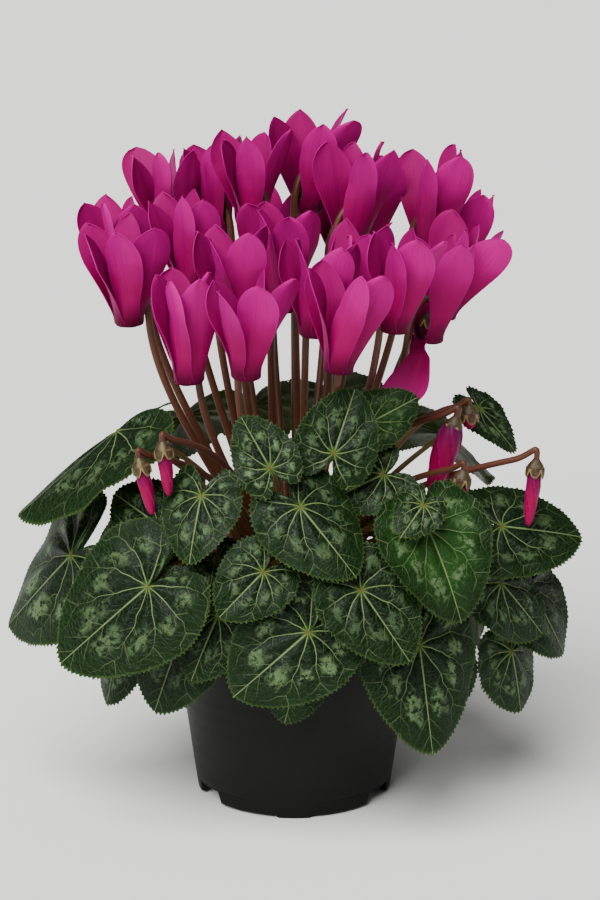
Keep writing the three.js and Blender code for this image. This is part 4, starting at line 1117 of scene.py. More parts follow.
def leaf_material(finish):
    """Cyclamen leaf blade: waxy cuticle over dark green tissue, marbled where air lies under it.

    Waxy leaves have an IOR near 1.45 and roughness about 0.4, so highlights are soft and wide.
    The midrib is 1.6 mm wide at the junction, the other main veins 1 mm, branches 0.35 mm, and
    the net 2.4 mm across.
    """
    material, tree, shader = start_material("waxy marbled leaf blade", IOR=1.45,
                                            Specular_IOR_Level=0.14)
    blade = add(tree, "Attribute", attribute_name="blade").outputs["Vector"]
    tone = add(
        tree, "SeparateXYZ", {0: add(tree, "Attribute", attribute_name="tone").outputs["Vector"]}
    )
    front = add(
        tree, "SeparateXYZ", {0: add(tree, "Attribute", attribute_name="front").outputs["Vector"]}
    )
    forward, sideways, share = add(tree, "SeparateXYZ", {0: blade}).outputs
    midrib = add(tree, "Math", {0: tone.outputs[1], 1: 100.0}, operation="MULTIPLY")
    flat = add(tree, "CombineXYZ", {0: forward, 1: sideways, 2: 0.0})
    reach = add(tree, "VectorMath", {0: flat}, operation="LENGTH")
    seed = add(tree, "Math", {0: tone.outputs[0], 1: 37.0}, operation="MULTIPLY")
    millimetres = add(tree, "VectorMath", {0: flat, "Scale": midrib}, operation="SCALE")
    sown = add(
        tree, "VectorMath",
        {0: millimetres, 1: add(tree, "CombineXYZ", {2: seed})},
        operation="ADD",
    )

    # Main veins: directions that bend towards the tip, an equal step apart.
    warp = add(tree, "TexNoise", {"Vector": sown, "Scale": 0.09, "Detail": 1.0})
    waver = add(tree, "MapRange", {"Value": warp, "To Min": -0.16, "To Max": 0.16})
    angle = add(tree, "Math", {0: sideways, 1: forward}, operation="ARCTAN2")
    bent = add(tree, "Math", {0: sideways, 1: 0.62, 2: angle}, operation="MULTIPLY_ADD")
    size = add(tree, "Math", {0: bent}, operation="ABSOLUTE")
    loose = add(tree, "MapRange", {"Value": size, "From Max": 0.5})
    swayed = add(tree, "Math", {0: waver, 1: loose, 2: size}, operation="MULTIPLY_ADD")
    steps = add(tree, "Math", {0: swayed, 1: VEIN_STEP}, operation="DIVIDE")
    fraction = add(tree, "Math", {0: steps, 1: 0.5}, operation="PINGPONG")
    spacing = add(tree, "Math", {0: fraction, 1: VEIN_STEP}, operation="MULTIPLY")
    gap = add(tree, "Math", {0: spacing, 1: reach}, operation="MULTIPLY")
    gap_mm = add(tree, "Math", {0: gap, 1: midrib}, operation="MULTIPLY")
    width = add(tree, "MapRange", {"Value": share, "To Min": 0.5, "To Max": 0.14})
    middle = add(
        tree, "MapRange",
        {"Value": size, "From Min": 0.08, "From Max": 0.28, "To Min": 1.0, "To Max": 0.0},
    )
    width = add(tree, "Math", {0: middle, 1: 0.34, 2: width}, operation="MULTIPLY_ADD")
    main = add(tree, "Math", {0: gap_mm, 1: width}, operation="DIVIDE")
    main = add(
        tree, "MapRange",
        {"Value": main, "From Min": 0.42, "From Max": 1.0, "To Min": 1.0, "To Max": 0.0},
        interpolation_type="SMOOTHSTEP",
    )
    spent = add(
        tree, "MapRange",
        {"Value": share, "From Min": 0.45, "From Max": 0.9, "To Min": 0.8, "To Max": 0.08},
    )
    lasting = add(tree, "Math", {0: middle, 1: 0.8}, operation="MULTIPLY")
    spent = add(tree, "Math", {0: spent, 1: lasting}, operation="MAXIMUM")
    main = add(tree, "Math", {0: main, 1: spent}, operation="MULTIPLY")

    # Branches leave the main veins outward at about 45 degrees, a sixth of the midrib apart.
    chevron = add(tree, "Math", {0: gap, 1: -0.85, 2: reach}, operation="MULTIPLY_ADD")
    pitch = add(tree, "Math", {0: chevron, 1: BRANCH_STEP}, operation="DIVIDE")
    uneven = add(tree, "Math", {0: waver, 1: 2.2, 2: pitch}, operation="MULTIPLY_ADD")
    branch = add(tree, "Math", {0: uneven, 1: 0.5}, operation="PINGPONG")
    branch = add(tree, "Math", {0: branch, 1: BRANCH_STEP * 0.75}, operation="MULTIPLY")
    branch = add(tree, "Math", {0: branch, 1: midrib}, operation="MULTIPLY")
    branch = add(
        tree, "MapRange",
        {"Value": branch, "From Min": 0.1, "From Max": 0.32, "To Min": 0.36, "To Max": 0.0},
        interpolation_type="SMOOTHSTEP",
    )
    near = add(
        tree, "MapRange",
        {"Value": fraction, "From Min": 0.16, "From Max": 0.46, "To Min": 0.85, "To Max": 0.0},
    )
    branch = add(tree, "Math", {0: branch, 1: near}, operation="MULTIPLY")
    grown = add(tree, "MapRange", {"Value": share, "From Min": 0.2, "From Max": 0.4})
    branch = add(tree, "Math", {0: branch, 1: grown}, operation="MULTIPLY")
    veins = add(tree, "Math", {0: main, 1: branch}, operation="MAXIMUM")

    net = add(tree, "TexVoronoi", {"Vector": sown, "Scale": 0.42}, feature="DISTANCE_TO_EDGE")
    net = add(
        tree, "MapRange",
        {"Value": net, "From Min": 0.02, "From Max": 0.12, "To Min": 1.0, "To Max": 0.0},
    )

    # Marbling: broken silver patches in a band at about two thirds of the reach.
    patch = add(tree, "TexNoise", {"Vector": sown, "Scale": 0.13, "Detail": 3.0, "Roughness": 0.6})
    drift = add(tree, "MapRange", {"Value": patch, "To Min": -0.26, "To Max": 0.26})
    belt = add(tree, "Math", {0: share, 1: drift}, operation="ADD")
    inner = add(
        tree, "MapRange",
        {"Value": belt, "From Min": 0.42, "From Max": 0.58},
        interpolation_type="SMOOTHSTEP",
    )
    outer = add(
        tree, "MapRange",
        {"Value": belt, "From Min": 0.66, "From Max": 0.76, "To Min": 1.0, "To Max": 0.0},
        interpolation_type="SMOOTHSTEP",
    )
    band = add(tree, "Math", {0: inner, 1: outer}, operation="MULTIPLY")
    between = add(tree, "MapRange", {"Value": fraction, "From Min": 0.12, "From Max": 0.3})
    band = add(tree, "Math", {0: band, 1: between}, operation="MULTIPLY")
    mottle = add(
        tree, "TexNoise", {"Vector": sown, "Scale": 0.34, "Detail": 4.0, "Roughness": 0.65}
    )
    broken = add(tree, "MapRange", {"Value": mottle, "From Min": 0.42, "From Max": 0.54})
    silver = add(tree, "Math", {0: band, 1: broken}, operation="MULTIPLY")
    strong = add(tree, "MapRange", {"Value": tone.outputs[2], "To Min": 0.3, "To Max": 0.85})
    silver = add(tree, "Math", {0: silver, 1: strong}, operation="MULTIPLY")

    # Colours, from the tissue out to the edge.
    young = add(tree, "MapRange", {"Value": tone.outputs[0], "From Min": 0.8, "From Max": 1.0})
    deep = add(
        tree, "Mix", {0: young, 6: finish.leaf_centre, 7: linear("#1E4210")}, data_type="RGBA"
    )
    rimmed = add(tree, "MapRange", {"Value": belt, "From Min": 0.45, "From Max": 0.95})
    green = add(tree, "Mix", {0: rimmed, 6: deep, 7: finish.leaf_margin}, data_type="RGBA")
    clouded = add(
        tree, "MapRange", {"Value": mottle, "From Min": 0.35, "From Max": 0.7, "To Max": 0.3}
    )
    green = add(tree, "Mix", {0: clouded, 6: green, 7: linear("#183018")}, data_type="RGBA")
    green = add(tree, "Mix", {0: silver, 6: green, 7: finish.leaf_silver}, data_type="RGBA")
    faint = add(tree, "Math", {0: net, 1: 0.22}, operation="MULTIPLY")
    green = add(tree, "Mix", {0: faint, 6: green, 7: linear("#22401E")}, data_type="RGBA")
    green = add(tree, "Mix", {0: veins, 6: green, 7: finish.leaf_vein}, data_type="RGBA")
    reach_mm = add(tree, "Math", {0: reach, 1: midrib}, operation="MULTIPLY")
    spot = add(
        tree, "MapRange",
        {"Value": reach_mm, "From Min": 1.0, "From Max": 4.0, "To Min": 0.7, "To Max": 0.0},
    )
    green = add(tree, "Mix", {0: spot, 6: green, 7: linear("#445C20")}, data_type="RGBA")
    eye = add(
        tree, "MapRange",
        {"Value": reach_mm, "From Min": 0.4, "From Max": 1.5, "To Min": 0.8, "To Max": 0.0},
    )
    green = add(tree, "Mix", {0: eye, 6: green, 7: linear("#5C3C1A")}, data_type="RGBA")
    hem = add(tree, "MapRange", {"Value": share, "From Min": 0.97, "From Max": 1.0, "To Max": 0.6})
    green = add(tree, "Mix", {0: hem, 6: green, 7: finish.leaf_edge}, data_type="RGBA")
    pale = add(
        tree, "Mix", {0: veins, 6: finish.leaf_underside, 7: linear("#5E6E2E")}, data_type="RGBA"
    )
    both = add(tree, "Mix", {0: front.outputs[0], 6: pale, 7: green}, data_type="RGBA")
    tree.links.new(both.outputs[2], shader.inputs["Base Color"])

    rough = add(tree, "MapRange", {"Value": mottle, "To Min": 0.32, "To Max": 0.5})
    tree.links.new(rough.outputs[0], shader.inputs["Roughness"])
    raised = add(tree, "Math", {0: net, 1: -0.35}, operation="MULTIPLY")
    valley = add(tree, "Math", {0: veins, 1: -0.8, 2: raised}, operation="MULTIPLY_ADD")
    grain = add(tree, "Math", {0: mottle, 1: 0.35, 2: valley}, operation="MULTIPLY_ADD")
    finish_bump(tree, shader, grain, 0.0005, 0.8)
    return material


def stalk_material(name, low, high):
    """Cyclamen stalk: a fleshy skin with red-brown pigment, finely streaked along its length.

    Soft tissue with fine glandular hairs scatters light, so roughness is 0.5 with a little sheen.
    Streaks are about 0.6 mm wide.
    """
    material, tree, shader = start_material(name, IOR=1.4, Roughness=0.5, Sheen_Weight=0.05,
                                            Sheen_Roughness=0.4)
    place = add(tree, "Attribute", attribute_name="place").outputs["Vector"]
    parts = add(tree, "SeparateXYZ", {0: place})
    coordinates = add(tree, "TexCoord").outputs["Object"]
    drawn = add(tree, "Mapping", {0: coordinates, "Scale": (1.0, 1.0, 0.12)})
    streak = add(tree, "TexNoise", {"Vector": drawn, "Scale": 1600.0, "Detail": 3.0})
    patch = add(tree, "TexNoise", {"Vector": coordinates, "Scale": 110.0, "Detail": 2.0})
    along = add(tree, "Math", {0: patch, 1: 0.5, 2: parts.outputs[0]}, operation="MULTIPLY_ADD")
    along = add(tree, "MapRange", {"Value": along, "From Min": 0.35, "From Max": 1.2})
    colour = add(tree, "Mix", {0: along, 6: low, 7: high}, data_type="RGBA")
    shade = add(
        tree, "MapRange", {"Value": streak, "From Min": 0.35, "From Max": 0.7, "To Max": 0.35}
    )
    colour = add(tree, "Mix", {0: shade, 6: colour, 7: linear("#32120A")}, data_type="RGBA")
    tree.links.new(colour.outputs[2], shader.inputs["Base Color"])
    finish_bump(tree, shader, streak, 0.0002, 0.5)
    return material


def petal_material(finish):
    """Cyclamen petal: thin living tissue, satin from its dome-shaped surface cells.

    The cells scatter light sideways into a soft lilac sheen at grazing angles, and light passes
    into the tissue. Fine veins run lengthwise, about 0.75 mm apart where a petal is broadest.
    The colour carries painted light too: the dark foot is partly the petal's own dark eye and
    partly painted shade, the lilac crown is partly a painted highlight, the edges are a painted
    highlight, and the inner face is a darker copy, painted shade.
    """
    material, tree, shader = start_material(
        "satin magenta petal", IOR=1.38, Roughness=0.48, Specular_IOR_Level=0.08,
        Sheen_Weight=0.06, Sheen_Roughness=0.35, Sheen_Tint=linear("#E800D0"),
        Subsurface_Weight=0.08, Subsurface_Scale=0.002, Subsurface_Radius=(1.0, 0.1, 0.5),
    )
    petal = add(
        tree, "SeparateXYZ", {0: add(tree, "Attribute", attribute_name="petal").outputs["Vector"]}
    )
    across, along, drawn = petal.outputs
    front = add(
        tree, "SeparateXYZ", {0: add(tree, "Attribute", attribute_name="front").outputs["Vector"]}
    )
    line = add(tree, "CombineXYZ", {
        0: add(tree, "Math", {0: across, 1: 17.0}, operation="MULTIPLY"),
        1: add(tree, "Math", {0: along, 1: 2.2}, operation="MULTIPLY"),
        2: add(tree, "Math", {0: drawn, 1: 50.0}, operation="MULTIPLY"),
    })
    streak = add(tree, "TexNoise", {"Vector": line, "Scale": 1.0, "Detail": 2.0})
    cloud = add(
        tree, "TexNoise",
        {"Vector": add(tree, "TexCoord").outputs["Object"], "Scale": 70.0, "Detail": 2.0},
    )
    # Foot to crown: the darker foot is partly the petal's own dark eye and partly painted shade
    # deep in the bloom; the lilac crown is partly a painted highlight where upswept petals face
    # the light.
    up = add(tree, "Math", {0: cloud, 1: 0.22, 2: along}, operation="MULTIPLY_ADD")
    foot = add(
        tree, "MapRange",
        {"Value": up, "From Min": 0.06, "From Max": 0.4},
        interpolation_type="SMOOTHSTEP",
    )
    colour = add(
        tree, "Mix", {0: foot, 6: finish.petal_base_and_painted_shade, 7: finish.petal_middle}, data_type="RGBA"
    )
    crown = add(
        tree, "MapRange",
        {"Value": up, "From Min": 0.4, "From Max": 1.0},
        interpolation_type="SMOOTHSTEP",
    )
    colour = add(tree, "Mix", {0: crown, 6: colour, 7: finish.petal_tip_and_painted_highlight}, data_type="RGBA")
    vein = add(
        tree, "MapRange", {"Value": streak, "From Min": 0.5, "From Max": 0.75, "To Max": 0.22}
    )
    colour = add(tree, "Mix", {0: vein, 6: colour, 7: linear("#6A0040")}, data_type="RGBA")
    # Painted highlight: the last stretch of each side edge is lightened, as if it caught light.
    side = add(tree, "Math", {0: across}, operation="ABSOLUTE")
    edge = add(tree, "MapRange", {"Value": side, "From Min": 0.93, "From Max": 1.0, "To Max": 0.2})
    colour = add(tree, "Mix", {0: edge, 6: colour, 7: linear("#C400A0")}, data_type="RGBA")
    # Painted shade: the inner face, turned into the bloom, is a darker copy of the outer face's
    # colour.
    inner = add(tree, "Mix", {0: 0.5, 6: colour, 7: linear("#62002E")}, data_type="RGBA")
    colour = add(tree, "Mix", {0: front.outputs[0], 6: inner, 7: colour}, data_type="RGBA")
    tree.links.new(colour.outputs[2], shader.inputs["Base Color"])
    finish_bump(tree, shader, streak, 0.0003, 0.35)
    return material


def throat_material():
    """The bloom's tube: petal tissue stained dark wine at the mouth."""
    material, tree, shader = start_material("dark wine throat", IOR=1.38, Roughness=0.5,
                                            Specular_IOR_Level=0.14)
    noise = add(
        tree, "TexNoise", {"Vector": add(tree, "TexCoord").outputs["Object"], "Scale": 500.0}
    )
    shade = add(tree, "MapRange", {"Value": noise, "From Min": 0.35, "From Max": 0.65})
    colour = add(
        tree, "Mix", {0: shade, 6: linear("#26020F"), 7: linear("#4A0426")}, data_type="RGBA"
    )
    tree.links.new(colour.outputs[2], shader.inputs["Base Color"])
    finish_bump(tree, shader, noise, 0.0002, 0.4)
    return material


def bud_material():
    """Rolled bud petals: the same tissue, with a pale edge where one petal laps the next.

    The crease just under each lapping edge is darkened: painted shade.
    """
    material, tree, shader = start_material(
        "rolled magenta bud", IOR=1.38, Roughness=0.42, Specular_IOR_Level=0.14, Sheen_Weight=0.08,
        Sheen_Tint=linear("#E800D0"), Subsurface_Weight=0.05, Subsurface_Scale=0.002,
    )
    petal = add(
        tree, "SeparateXYZ", {0: add(tree, "Attribute", attribute_name="petal").outputs["Vector"]}
    )
    lap, along, _ = petal.outputs
    pale = add(tree, "MapRange", {"Value": lap, "From Min": 0.5, "From Max": 0.95, "To Max": 0.4})
    foot = add(tree, "MapRange", {"Value": along, "From Max": 0.5})
    colour = add(
        tree, "Mix", {0: foot, 6: linear("#480638"), 7: linear("#86003C")}, data_type="RGBA"
    )
    colour = add(tree, "Mix", {0: pale, 6: colour, 7: linear("#96106E")}, data_type="RGBA")
    # Painted shade: the strip just under each lapping edge is darkened, as if shadowed in the
    # crease.
    sunk = add(
        tree, "MapRange",
        {"Value": lap, "From Min": -1.0, "From Max": -0.7, "To Min": 0.6, "To Max": 0.0},
    )
    colour = add(tree, "Mix", {0: sunk, 6: colour, 7: linear("#3A0024")}, data_type="RGBA")
    tree.links.new(colour.outputs[2], shader.inputs["Base Color"])
    noise = add(
        tree, "TexNoise", {"Vector": add(tree, "TexCoord").outputs["Object"], "Scale": 900.0}
    )
    finish_bump(tree, shader, noise, 0.0002, 0.4)
    return material


def calyx_material():
    """Calyx: leathery green-brown sepals with cream edges and points, finely veined."""
    material, tree, shader = start_material("leathery cream-edged calyx", IOR=1.42, Roughness=0.55)
    place = add(tree, "Attribute", attribute_name="place").outputs["Vector"]
    parts = add(tree, "SeparateXYZ", {0: place})
    coordinates = add(tree, "TexCoord").outputs["Object"]
    noise = add(tree, "TexNoise", {"Vector": coordinates, "Scale": 650.0, "Detail": 3.0})
    shade = add(tree, "MapRange", {"Value": noise, "From Min": 0.38, "From Max": 0.62})
    body = add(
        tree, "Mix", {0: shade, 6: linear("#321A10"), 7: linear("#423A1C")}, data_type="RGBA"
    )
    side = add(tree, "Math", {0: parts.outputs[1]}, operation="ABSOLUTE")
    fringe = add(tree, "MapRange", {"Value": side, "From Min": 0.65, "From Max": 0.98})
    point = add(tree, "MapRange", {"Value": parts.outputs[0], "From Min": 0.55, "From Max": 0.95})
    cream = add(tree, "Math", {0: fringe, 1: point}, operation="MAXIMUM")
    cream = add(tree, "Math", {0: cream, 1: parts.outputs[2]}, operation="MULTIPLY")
    colour = add(tree, "Mix", {0: cream, 6: body, 7: linear("#8E7A48")}, data_type="RGBA")
    tree.links.new(colour.outputs[2], shader.inputs["Base Color"])
    finish_bump(tree, shader, noise, 0.0003, 0.6)
    return material


def pot_material(finish):
    """Moulded polypropylene: black, eggshell from a spark-eroded mould, dulled by fine scuffs.

    PP has an IOR near 1.49. The mould's grain is about 0.5 mm across, and dust and rubbing leave
    faint paler streaks round the belly.
    """
    material, tree, shader = start_material("moulded black polypropylene", IOR=1.49,
                                            Specular_IOR_Level=0.16)
    coordinates = add(tree, "TexCoord").outputs["Object"]
    grain = add(tree, "TexNoise", {"Vector": coordinates, "Scale": 2000.0, "Detail": 2.0})
    belted = add(tree, "Mapping", {0: coordinates, "Scale": (1.0, 1.0, 9.0)})
    scuff = add(
        tree, "TexNoise", {"Vector": belted, "Scale": 26.0, "Detail": 6.0, "Roughness": 0.7}
    )
    rubbed = add(
        tree, "MapRange", {"Value": scuff, "From Min": 0.58, "From Max": 0.78, "To Max": 0.35}
    )
    dust = add(tree, "TexNoise", {"Vector": coordinates, "Scale": 45.0, "Detail": 4.0})
    cloud = add(
        tree, "MapRange", {"Value": dust, "From Min": 0.4, "From Max": 0.8, "To Max": 0.25}
    )
    most = add(tree, "Math", {0: rubbed, 1: cloud}, operation="MAXIMUM")
    colour = add(
        tree, "Mix", {0: most, 6: finish.pot_colour, 7: linear("#11110F")}, data_type="RGBA"
    )
    tree.links.new(colour.outputs[2], shader.inputs["Base Color"])
    rough = add(tree, "MapRange", {"Value": scuff, "To Min": 0.44, "To Max": 0.64})
    tree.links.new(rough.outputs[0], shader.inputs["Roughness"])
    finish_bump(tree, shader, grain, 0.0002, 0.35)
    return material


def soil_material():
    """Peat: dark fibrous crumbs 1 to 4 mm across, with a few paler specks of grit."""
    material, tree, shader = start_material("fibrous dark peat", IOR=1.35, Roughness=0.95)
    coordinates = add(tree, "TexCoord").outputs["Object"]
    crumbs = add(tree, "TexVoronoi", {"Vector": coordinates, "Scale": 420.0})
    fibre = add(
        tree, "TexNoise", {"Vector": coordinates, "Scale": 700.0, "Detail": 5.0, "Roughness": 0.7}
    )
    shade = add(tree, "MapRange", {"Value": fibre, "From Min": 0.35, "From Max": 0.7})
    colour = add(
        tree, "Mix", {0: shade, 6: linear("#120C08"), 7: linear("#3B2A1E")}, data_type="RGBA"
    )
    speck = add(tree, "TexNoise", {"Vector": coordinates, "Scale": 330.0, "Detail": 1.0})
    speck = add(
        tree, "MapRange", {"Value": speck, "From Min": 0.7, "From Max": 0.74, "To Max": 0.8}
    )
    colour = add(tree, "Mix", {0: speck, 6: colour, 7: linear("#8A7A66")}, data_type="RGBA")
    tree.links.new(colour.outputs[2], shader.inputs["Base Color"])
    height = add(
        tree, "Math", {0: crumbs.outputs["Distance"], 1: -1.0, 2: fibre}, operation="MULTIPLY_ADD"
    )
    finish_bump(tree, shader, height, 0.0015, 1.0)
    return material


def tuber_material():
    """Cork: the tuber's dry brown skin, cracked in plates about 5 mm across."""
    material, tree, shader = start_material("cracked corky tuber skin", IOR=1.4, Roughness=0.85)
    coordinates = add(tree, "TexCoord").outputs["Object"]
    plates = add(
        tree, "TexVoronoi", {"Vector": coordinates, "Scale": 200.0}, feature="DISTANCE_TO_EDGE"
    )
    crack = add(
        tree, "MapRange", {"Value": plates, "From Max": 0.08, "To Min": 1.0, "To Max": 0.0}
    )
    noise = add(tree, "TexNoise", {"Vector": coordinates, "Scale": 260.0, "Detail": 5.0})
    colour = add(
        tree, "Mix", {0: noise, 6: linear("#3A2618"), 7: linear("#7A5A3C")}, data_type="RGBA"
    )
    colour = add(tree, "Mix", {0: crack, 6: colour, 7: linear("#1E130C")}, data_type="RGBA")
    tree.links.new(colour.outputs[2], shader.inputs["Base Color"])
    height = add(tree, "Math", {0: crack, 1: -1.0, 2: noise}, operation="MULTIPLY_ADD")
    finish_bump(tree, shader, height, 0.001, 0.8)
    return material


def floor_material(stage):
    """Plain studio paper: matt and near white."""
    material, tree, shader = start_material("matt studio paper", Roughness=0.9)
    noise = add(
        tree, "TexNoise", {"Vector": add(tree, "TexCoord").outputs["Object"], "Scale": 900.0}
    )
    shade = add(tree, "MapRange", {"Value": noise, "To Max": 0.04})
    colour = add(
        tree, "Mix", {0: shade, 6: stage.floor_colour, 7: linear("#E4E4E2")}, data_type="RGBA"
    )
    tree.links.new(colour.outputs[2], shader.inputs["Base Color"])
    return material


# Settings that a user may change.


def colour_setting(name, description, code):
    """A colour that a user may change, with its sRGB default."""
    return bpy.props.FloatVectorProperty(
        name=name, description=description, subtype="COLOR", size=4, min=0, max=1,
        default=linear(code),
    )


class CyclamenForm(bpy.types.PropertyGroup):
    """Sizes of the detail that the solids leave out"""

    petal_breadth: bpy.props.FloatProperty(
        name="Petal breadth", description="Breadth of a petal against that of its solid",
        default=1.22, min=0.5, max=1.5, subtype="FACTOR",
    )
    tooth_height: bpy.props.FloatProperty(
        name="Leaf teeth", description="Height of the teeth on a leaf's edge",
        default=0.0012, min=0, unit="LENGTH", precision=4,
    )
    blade_ruffle: bpy.props.FloatProperty(
        name="Leaf ruffle", description="Depth of the waves at a leaf's edge, in midrib lengths",
        default=0.04, min=0, max=0.2, subtype="FACTOR",
    )
    bloom_stem_radius: bpy.props.FloatProperty(
        name="Bloom stem radius", description="Radius of a bloom's stem where its hook starts",
        default=0.0018, min=0.001, unit="LENGTH", precision=4,
    )
    bud_stem_radius: bpy.props.FloatProperty(
        name="Bud stem radius", description="The same for the stem of a small bud",
        default=0.00155, min=0.001, unit="LENGTH", precision=5,
    )


class CyclamenFinish(bpy.types.PropertyGroup):
    """Colours of the plant and its pot"""

    pot_colour: colour_setting("Pot", "Colour of the moulded pot", "#070706")
    leaf_centre: colour_setting("Leaf centre", "Dark tissue round the main veins", "#060F05")
    leaf_margin: colour_setting("Leaf margin", "Tissue outside the silver band", "#0B1C03")
    leaf_silver: colour_setting("Leaf silver", "Marbled patches", "#586E48")
    leaf_vein: colour_setting("Leaf veins", "Main veins and their branches", "#6C804E")
    leaf_edge: colour_setting("Leaf edge", "The thin toothed edge", "#3A5020")
    leaf_underside: colour_setting("Leaf underside", "The pale under face", "#3A4C16")
    # Petal base: partly the petal's own dark eye, partly painted shade deep in the bloom.
    petal_base_and_painted_shade: colour_setting("Petal base", "The neck of a petal near the mouth", "#40001A")
    petal_middle: colour_setting("Petal middle", "The middle of a petal", "#88004B")
    # Petal tip: partly the petal's own magenta, partly a painted lilac highlight where upswept
    # petals face the light.
    petal_tip_and_painted_highlight: colour_setting("Petal tip", "The broad end of a petal", "#AC0074")
    stalk_low: colour_setting("Stalk, low", "Flower stems near the tuber", "#5A3014")
    stalk_high: colour_setting("Stalk, high", "Flower stems near the bloom", "#4A2212")


class CyclamenStage(bpy.types.PropertyGroup):
    """The studio: floor, lights and camera"""

    floor_colour: colour_setting("Floor", "Colour of the studio paper", "#F2F2F0")
    floor_size: bpy.props.FloatProperty(
        name="Floor size", description="Side of the square floor", default=40.0, min=1,
        unit="LENGTH",
    )
    focal_length: bpy.props.FloatProperty(
        name="Focal length", description="Camera lens in millimetres", default=124.1, min=10
    )
    camera_distance: bpy.props.FloatProperty(
        name="Camera distance", description="In front of the pot's axis", default=1.5,
        unit="LENGTH",
    )
    camera_aside: bpy.props.FloatProperty(
        name="Camera aside", description="To the right of the pot's axis", default=0.003,
        unit="LENGTH",
    )
    camera_height: bpy.props.FloatProperty(
        name="Camera height", description="Above the floor", default=0.591, unit="LENGTH"
    )
    camera_dip: bpy.props.FloatProperty(
        name="Camera dip", description="Angle below level that the camera looks at",
        default=math.radians(15.39), subtype="ANGLE",
    )
    key_strength: bpy.props.FloatProperty(
        name="Key light", description="Strength of the soft light from front and above",
        default=6.5, min=0,
    )
    key_softness: bpy.props.FloatProperty(
        name="Key softness", description="Angle that the key light fills",
        default=math.radians(50), subtype="ANGLE",
    )
    key_turn: bpy.props.FloatVectorProperty(
        name="Key turn", description="Rotation of the key light", subtype="EULER",
        default=(math.radians(40), 0, math.radians(-28)),
    )
    world_strength: bpy.props.FloatProperty(
        name="Surround", description="Strength of the white surround", default=0.2, min=0
    )


# Operators, one for each group of pieces and one for the stage.


class CYCLAMEN_OT_stage(bpy.types.Operator):
    """Makes the pale floor, the soft lights, the white surround and the camera"""

    bl_idname = "cyclamen.stage"
    bl_label = "Stage and camera"

    def execute(self, context):
        stage = context.scene.cyclamen_stage
        collection = context.scene.collection
        half = stage.floor_size / 2
        mesh = bpy.data.meshes.new("studio_floor")
        corners = [(-half, -half, 0), (half, -half, 0), (half, half, 0), (-half, half, 0)]
        mesh.from_pydata(corners, [], [(0, 1, 2, 3)])
        mesh.materials.append(floor_material(stage))
        floor = bpy.data.objects.new("studio_floor", mesh)
        collection.objects.link(floor)
        sun = bpy.data.lights.new("soft key", "SUN")
        sun.energy, sun.angle = stage.key_strength, stage.key_softness
        holder = bpy.data.objects.new("soft key", sun)
        holder.rotation_euler = stage.key_turn
        collection.objects.link(holder)
        world = bpy.data.worlds.new("white surround")
        world.use_nodes = True
        background = world.node_tree.nodes["Background"]
        background.inputs["Color"].default_value = (1, 1, 1, 1)
        background.inputs["Strength"].default_value = stage.world_strength
        context.scene.world = world
        lens = bpy.data.cameras.new("camera")
        lens.lens = stage.focal_length
        camera = bpy.data.objects.new("camera", lens)
        camera.location = (stage.camera_aside, -stage.camera_distance, stage.camera_height)
        camera.rotation_euler = (math.pi / 2 - stage.camera_dip, 0, 0)
        collection.objects.link(camera)
        context.scene.camera = camera
        return {"FINISHED"}


class CYCLAMEN_OT_pot(bpy.types.Operator):
    """Makes the pot with its rim, skirt, feet, notches and drained floor"""

    bl_idname = "cyclamen.pot"
    bl_label = "Pot"

    def execute(self, context):
        finish = context.scene.cyclamen_finish
        make_piece("pot_shell", [pot_wall(), *pot_floor()], [pot_material(finish)], "pot",
                   sharp=35)
        return {"FINISHED"}


class CYCLAMEN_OT_soil(bpy.types.Operator):
    """Makes the soil and the half-buried tuber"""

    bl_idname = "cyclamen.soil"
    bl_label = "Soil and tuber"

    def execute(self, context):
        make_piece("soil_surface", [soil_body()], [soil_material()], "soil")
        make_piece("tuber", [tuber_body()], [tuber_material()], "tuber_and_flower_stems")
        return {"FINISHED"}


class CYCLAMEN_OT_stems(bpy.types.Operator):
    """Makes the hooked flower stems and the calyx at the end of each"""

    bl_idname = "cyclamen.stems"
    bl_label = "Flower stems and calyxes"

    def execute(self, context):
        finish = context.scene.cyclamen_finish
        form = context.scene.cyclamen_form
        stems, calyxes = [], []
        for item, flower in enumerate(plant().flowers):
            is_bud = item >= len(BLOOMS)
            path = stem_path(flower, flower.bow, 26, 14)
            share = np.linspace(0, 1, len(path))
            is_small = is_bud and BUDS[item - len(BLOOMS)][6] < 5
            thick = (form.bud_stem_radius if is_small else form.bloom_stem_radius) * METRE
            radii = thick * (1.18 - 0.24 * share)
            aside = np.cross(UP, unit(flower.start * (1, 1, 0)))
            stems.append(tube(path, radii, aside, 10, draw(item, 44)))
            calyxes += calyx_parts(flower, is_bud, item)
        skin = stalk_material("fleshy red-brown flower stem", finish.stalk_low, finish.stalk_high)
        make_piece("flower_stems", stems, [skin], "tuber_and_flower_stems")
        make_piece("calyxes", calyxes, [calyx_material()], "tuber_and_flower_stems")
        return {"FINISHED"}


class CYCLAMEN_OT_blooms(bpy.types.Operator):
    """Makes the open blooms, each with five upswept twisted petals round its tube"""

    bl_idname = "cyclamen.blooms"
    bl_label = "Blooms"

    def execute(self, context):
        breadth = context.scene.cyclamen_form.petal_breadth
        materials = [petal_material(context.scene.cyclamen_finish), throat_material()]
        for item, bloom in enumerate(plant().blooms):
            parts = [petal_surface(bloom, k, breadth) for k in range(5)]
            parts.append(bloom_tube(bloom))
            number = f"{item + 1:02d}"
            make_piece(f"petals_{number}", parts, materials, f"bloom_{number}")
        return {"FINISHED"}


class CYCLAMEN_OT_buds(bpy.types.Operator):
    """Makes the rolled petals of the buds"""

    bl_idname = "cyclamen.buds"
    bl_label = "Buds"

    def execute(self, context):
        material = bud_material()
        for item, row in enumerate(BUDS):
            part = bud_petals(row, plant().flowers[len(BLOOMS) + item], item)
            number = f"{item + 1:02d}"
            make_piece(f"bud_petals_{number}", [part], [material], f"bud_{number}",
                       sharp=35)
        return {"FINISHED"}


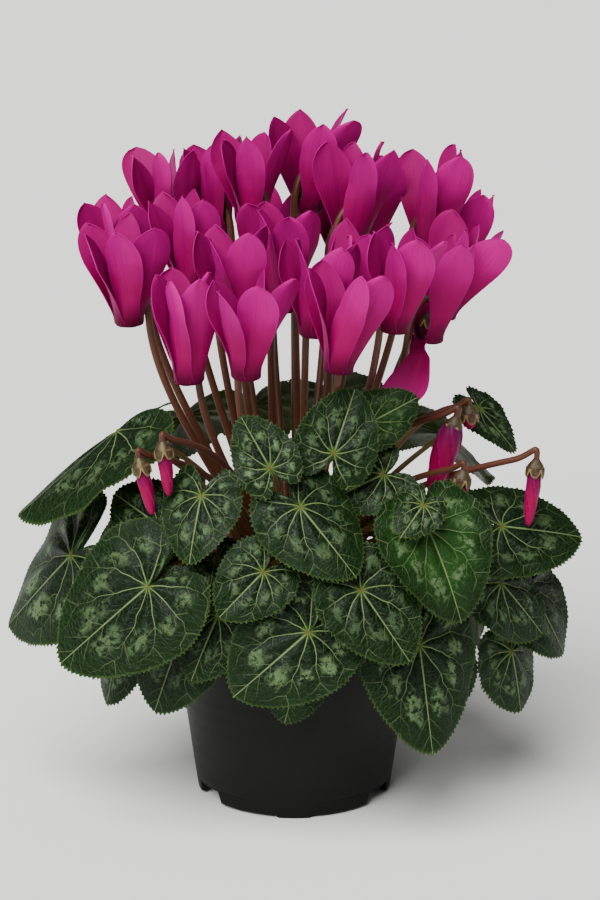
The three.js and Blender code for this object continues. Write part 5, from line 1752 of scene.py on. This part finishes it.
class CYCLAMEN_OT_leaves(bpy.types.Operator):
    """Makes the toothed, marbled leaves on their petioles"""

    bl_idname = "cyclamen.leaves"
    bl_label = "Leaves"

    def execute(self, context):
        form = context.scene.cyclamen_form
        petiole = stalk_material("fleshy leaf stalk", linear("#6E3E2A"), linear("#70602A"))
        materials = [leaf_material(context.scene.cyclamen_finish), petiole]
        for item, pair in enumerate(plant().pairs):
            parts = [part for leaf in pair for part in leaf_parts(leaf, form)]
            parts.append(root_knob(pair[0]))
            number = f"{item + 1:02d}"
            make_piece(f"leaf_pair_{number}", parts, materials, f"leaves_{number}")
        return {"FINISHED"}


class CYCLAMEN_PT_panel(bpy.types.Panel):
    """Lists the operators and the settings"""

    bl_label = "Cyclamen"
    bl_idname = "CYCLAMEN_PT_panel"
    bl_space_type = "VIEW_3D"
    bl_region_type = "UI"
    bl_category = "Cyclamen"

    def draw(self, context):
        for operator in OPERATORS:
            self.layout.operator(operator.bl_idname)
        scene = context.scene
        for group in (scene.cyclamen_form, scene.cyclamen_finish, scene.cyclamen_stage):
            for name in type(group).__annotations__:
                self.layout.prop(group, name)


OPERATORS = (
    CYCLAMEN_OT_stage,
    CYCLAMEN_OT_pot,
    CYCLAMEN_OT_soil,
    CYCLAMEN_OT_stems,
    CYCLAMEN_OT_blooms,
    CYCLAMEN_OT_buds,
    CYCLAMEN_OT_leaves,
)
CLASSES = (CyclamenForm, CyclamenFinish, CyclamenStage, *OPERATORS, CYCLAMEN_PT_panel)


def register():
    """Registers the classes and gives the scene its settings."""
    for one in CLASSES:
        bpy.utils.register_class(one)
    bpy.types.Scene.cyclamen_form = bpy.props.PointerProperty(type=CyclamenForm)
    bpy.types.Scene.cyclamen_finish = bpy.props.PointerProperty(type=CyclamenFinish)
    bpy.types.Scene.cyclamen_stage = bpy.props.PointerProperty(type=CyclamenStage)


def unregister():
    """Takes the settings and the classes away again."""
    del bpy.types.Scene.cyclamen_stage
    del bpy.types.Scene.cyclamen_finish
    del bpy.types.Scene.cyclamen_form
    for one in reversed(CLASSES):
        bpy.utils.unregister_class(one)


def main():
    """Registers the add-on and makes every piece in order."""
    register()
    bpy.ops.cyclamen.stage()
    bpy.ops.cyclamen.pot()
    bpy.ops.cyclamen.soil()
    bpy.ops.cyclamen.stems()
    bpy.ops.cyclamen.blooms()
    bpy.ops.cyclamen.buds()
    bpy.ops.cyclamen.leaves()
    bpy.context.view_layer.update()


if __name__ == "__main__":
    main()
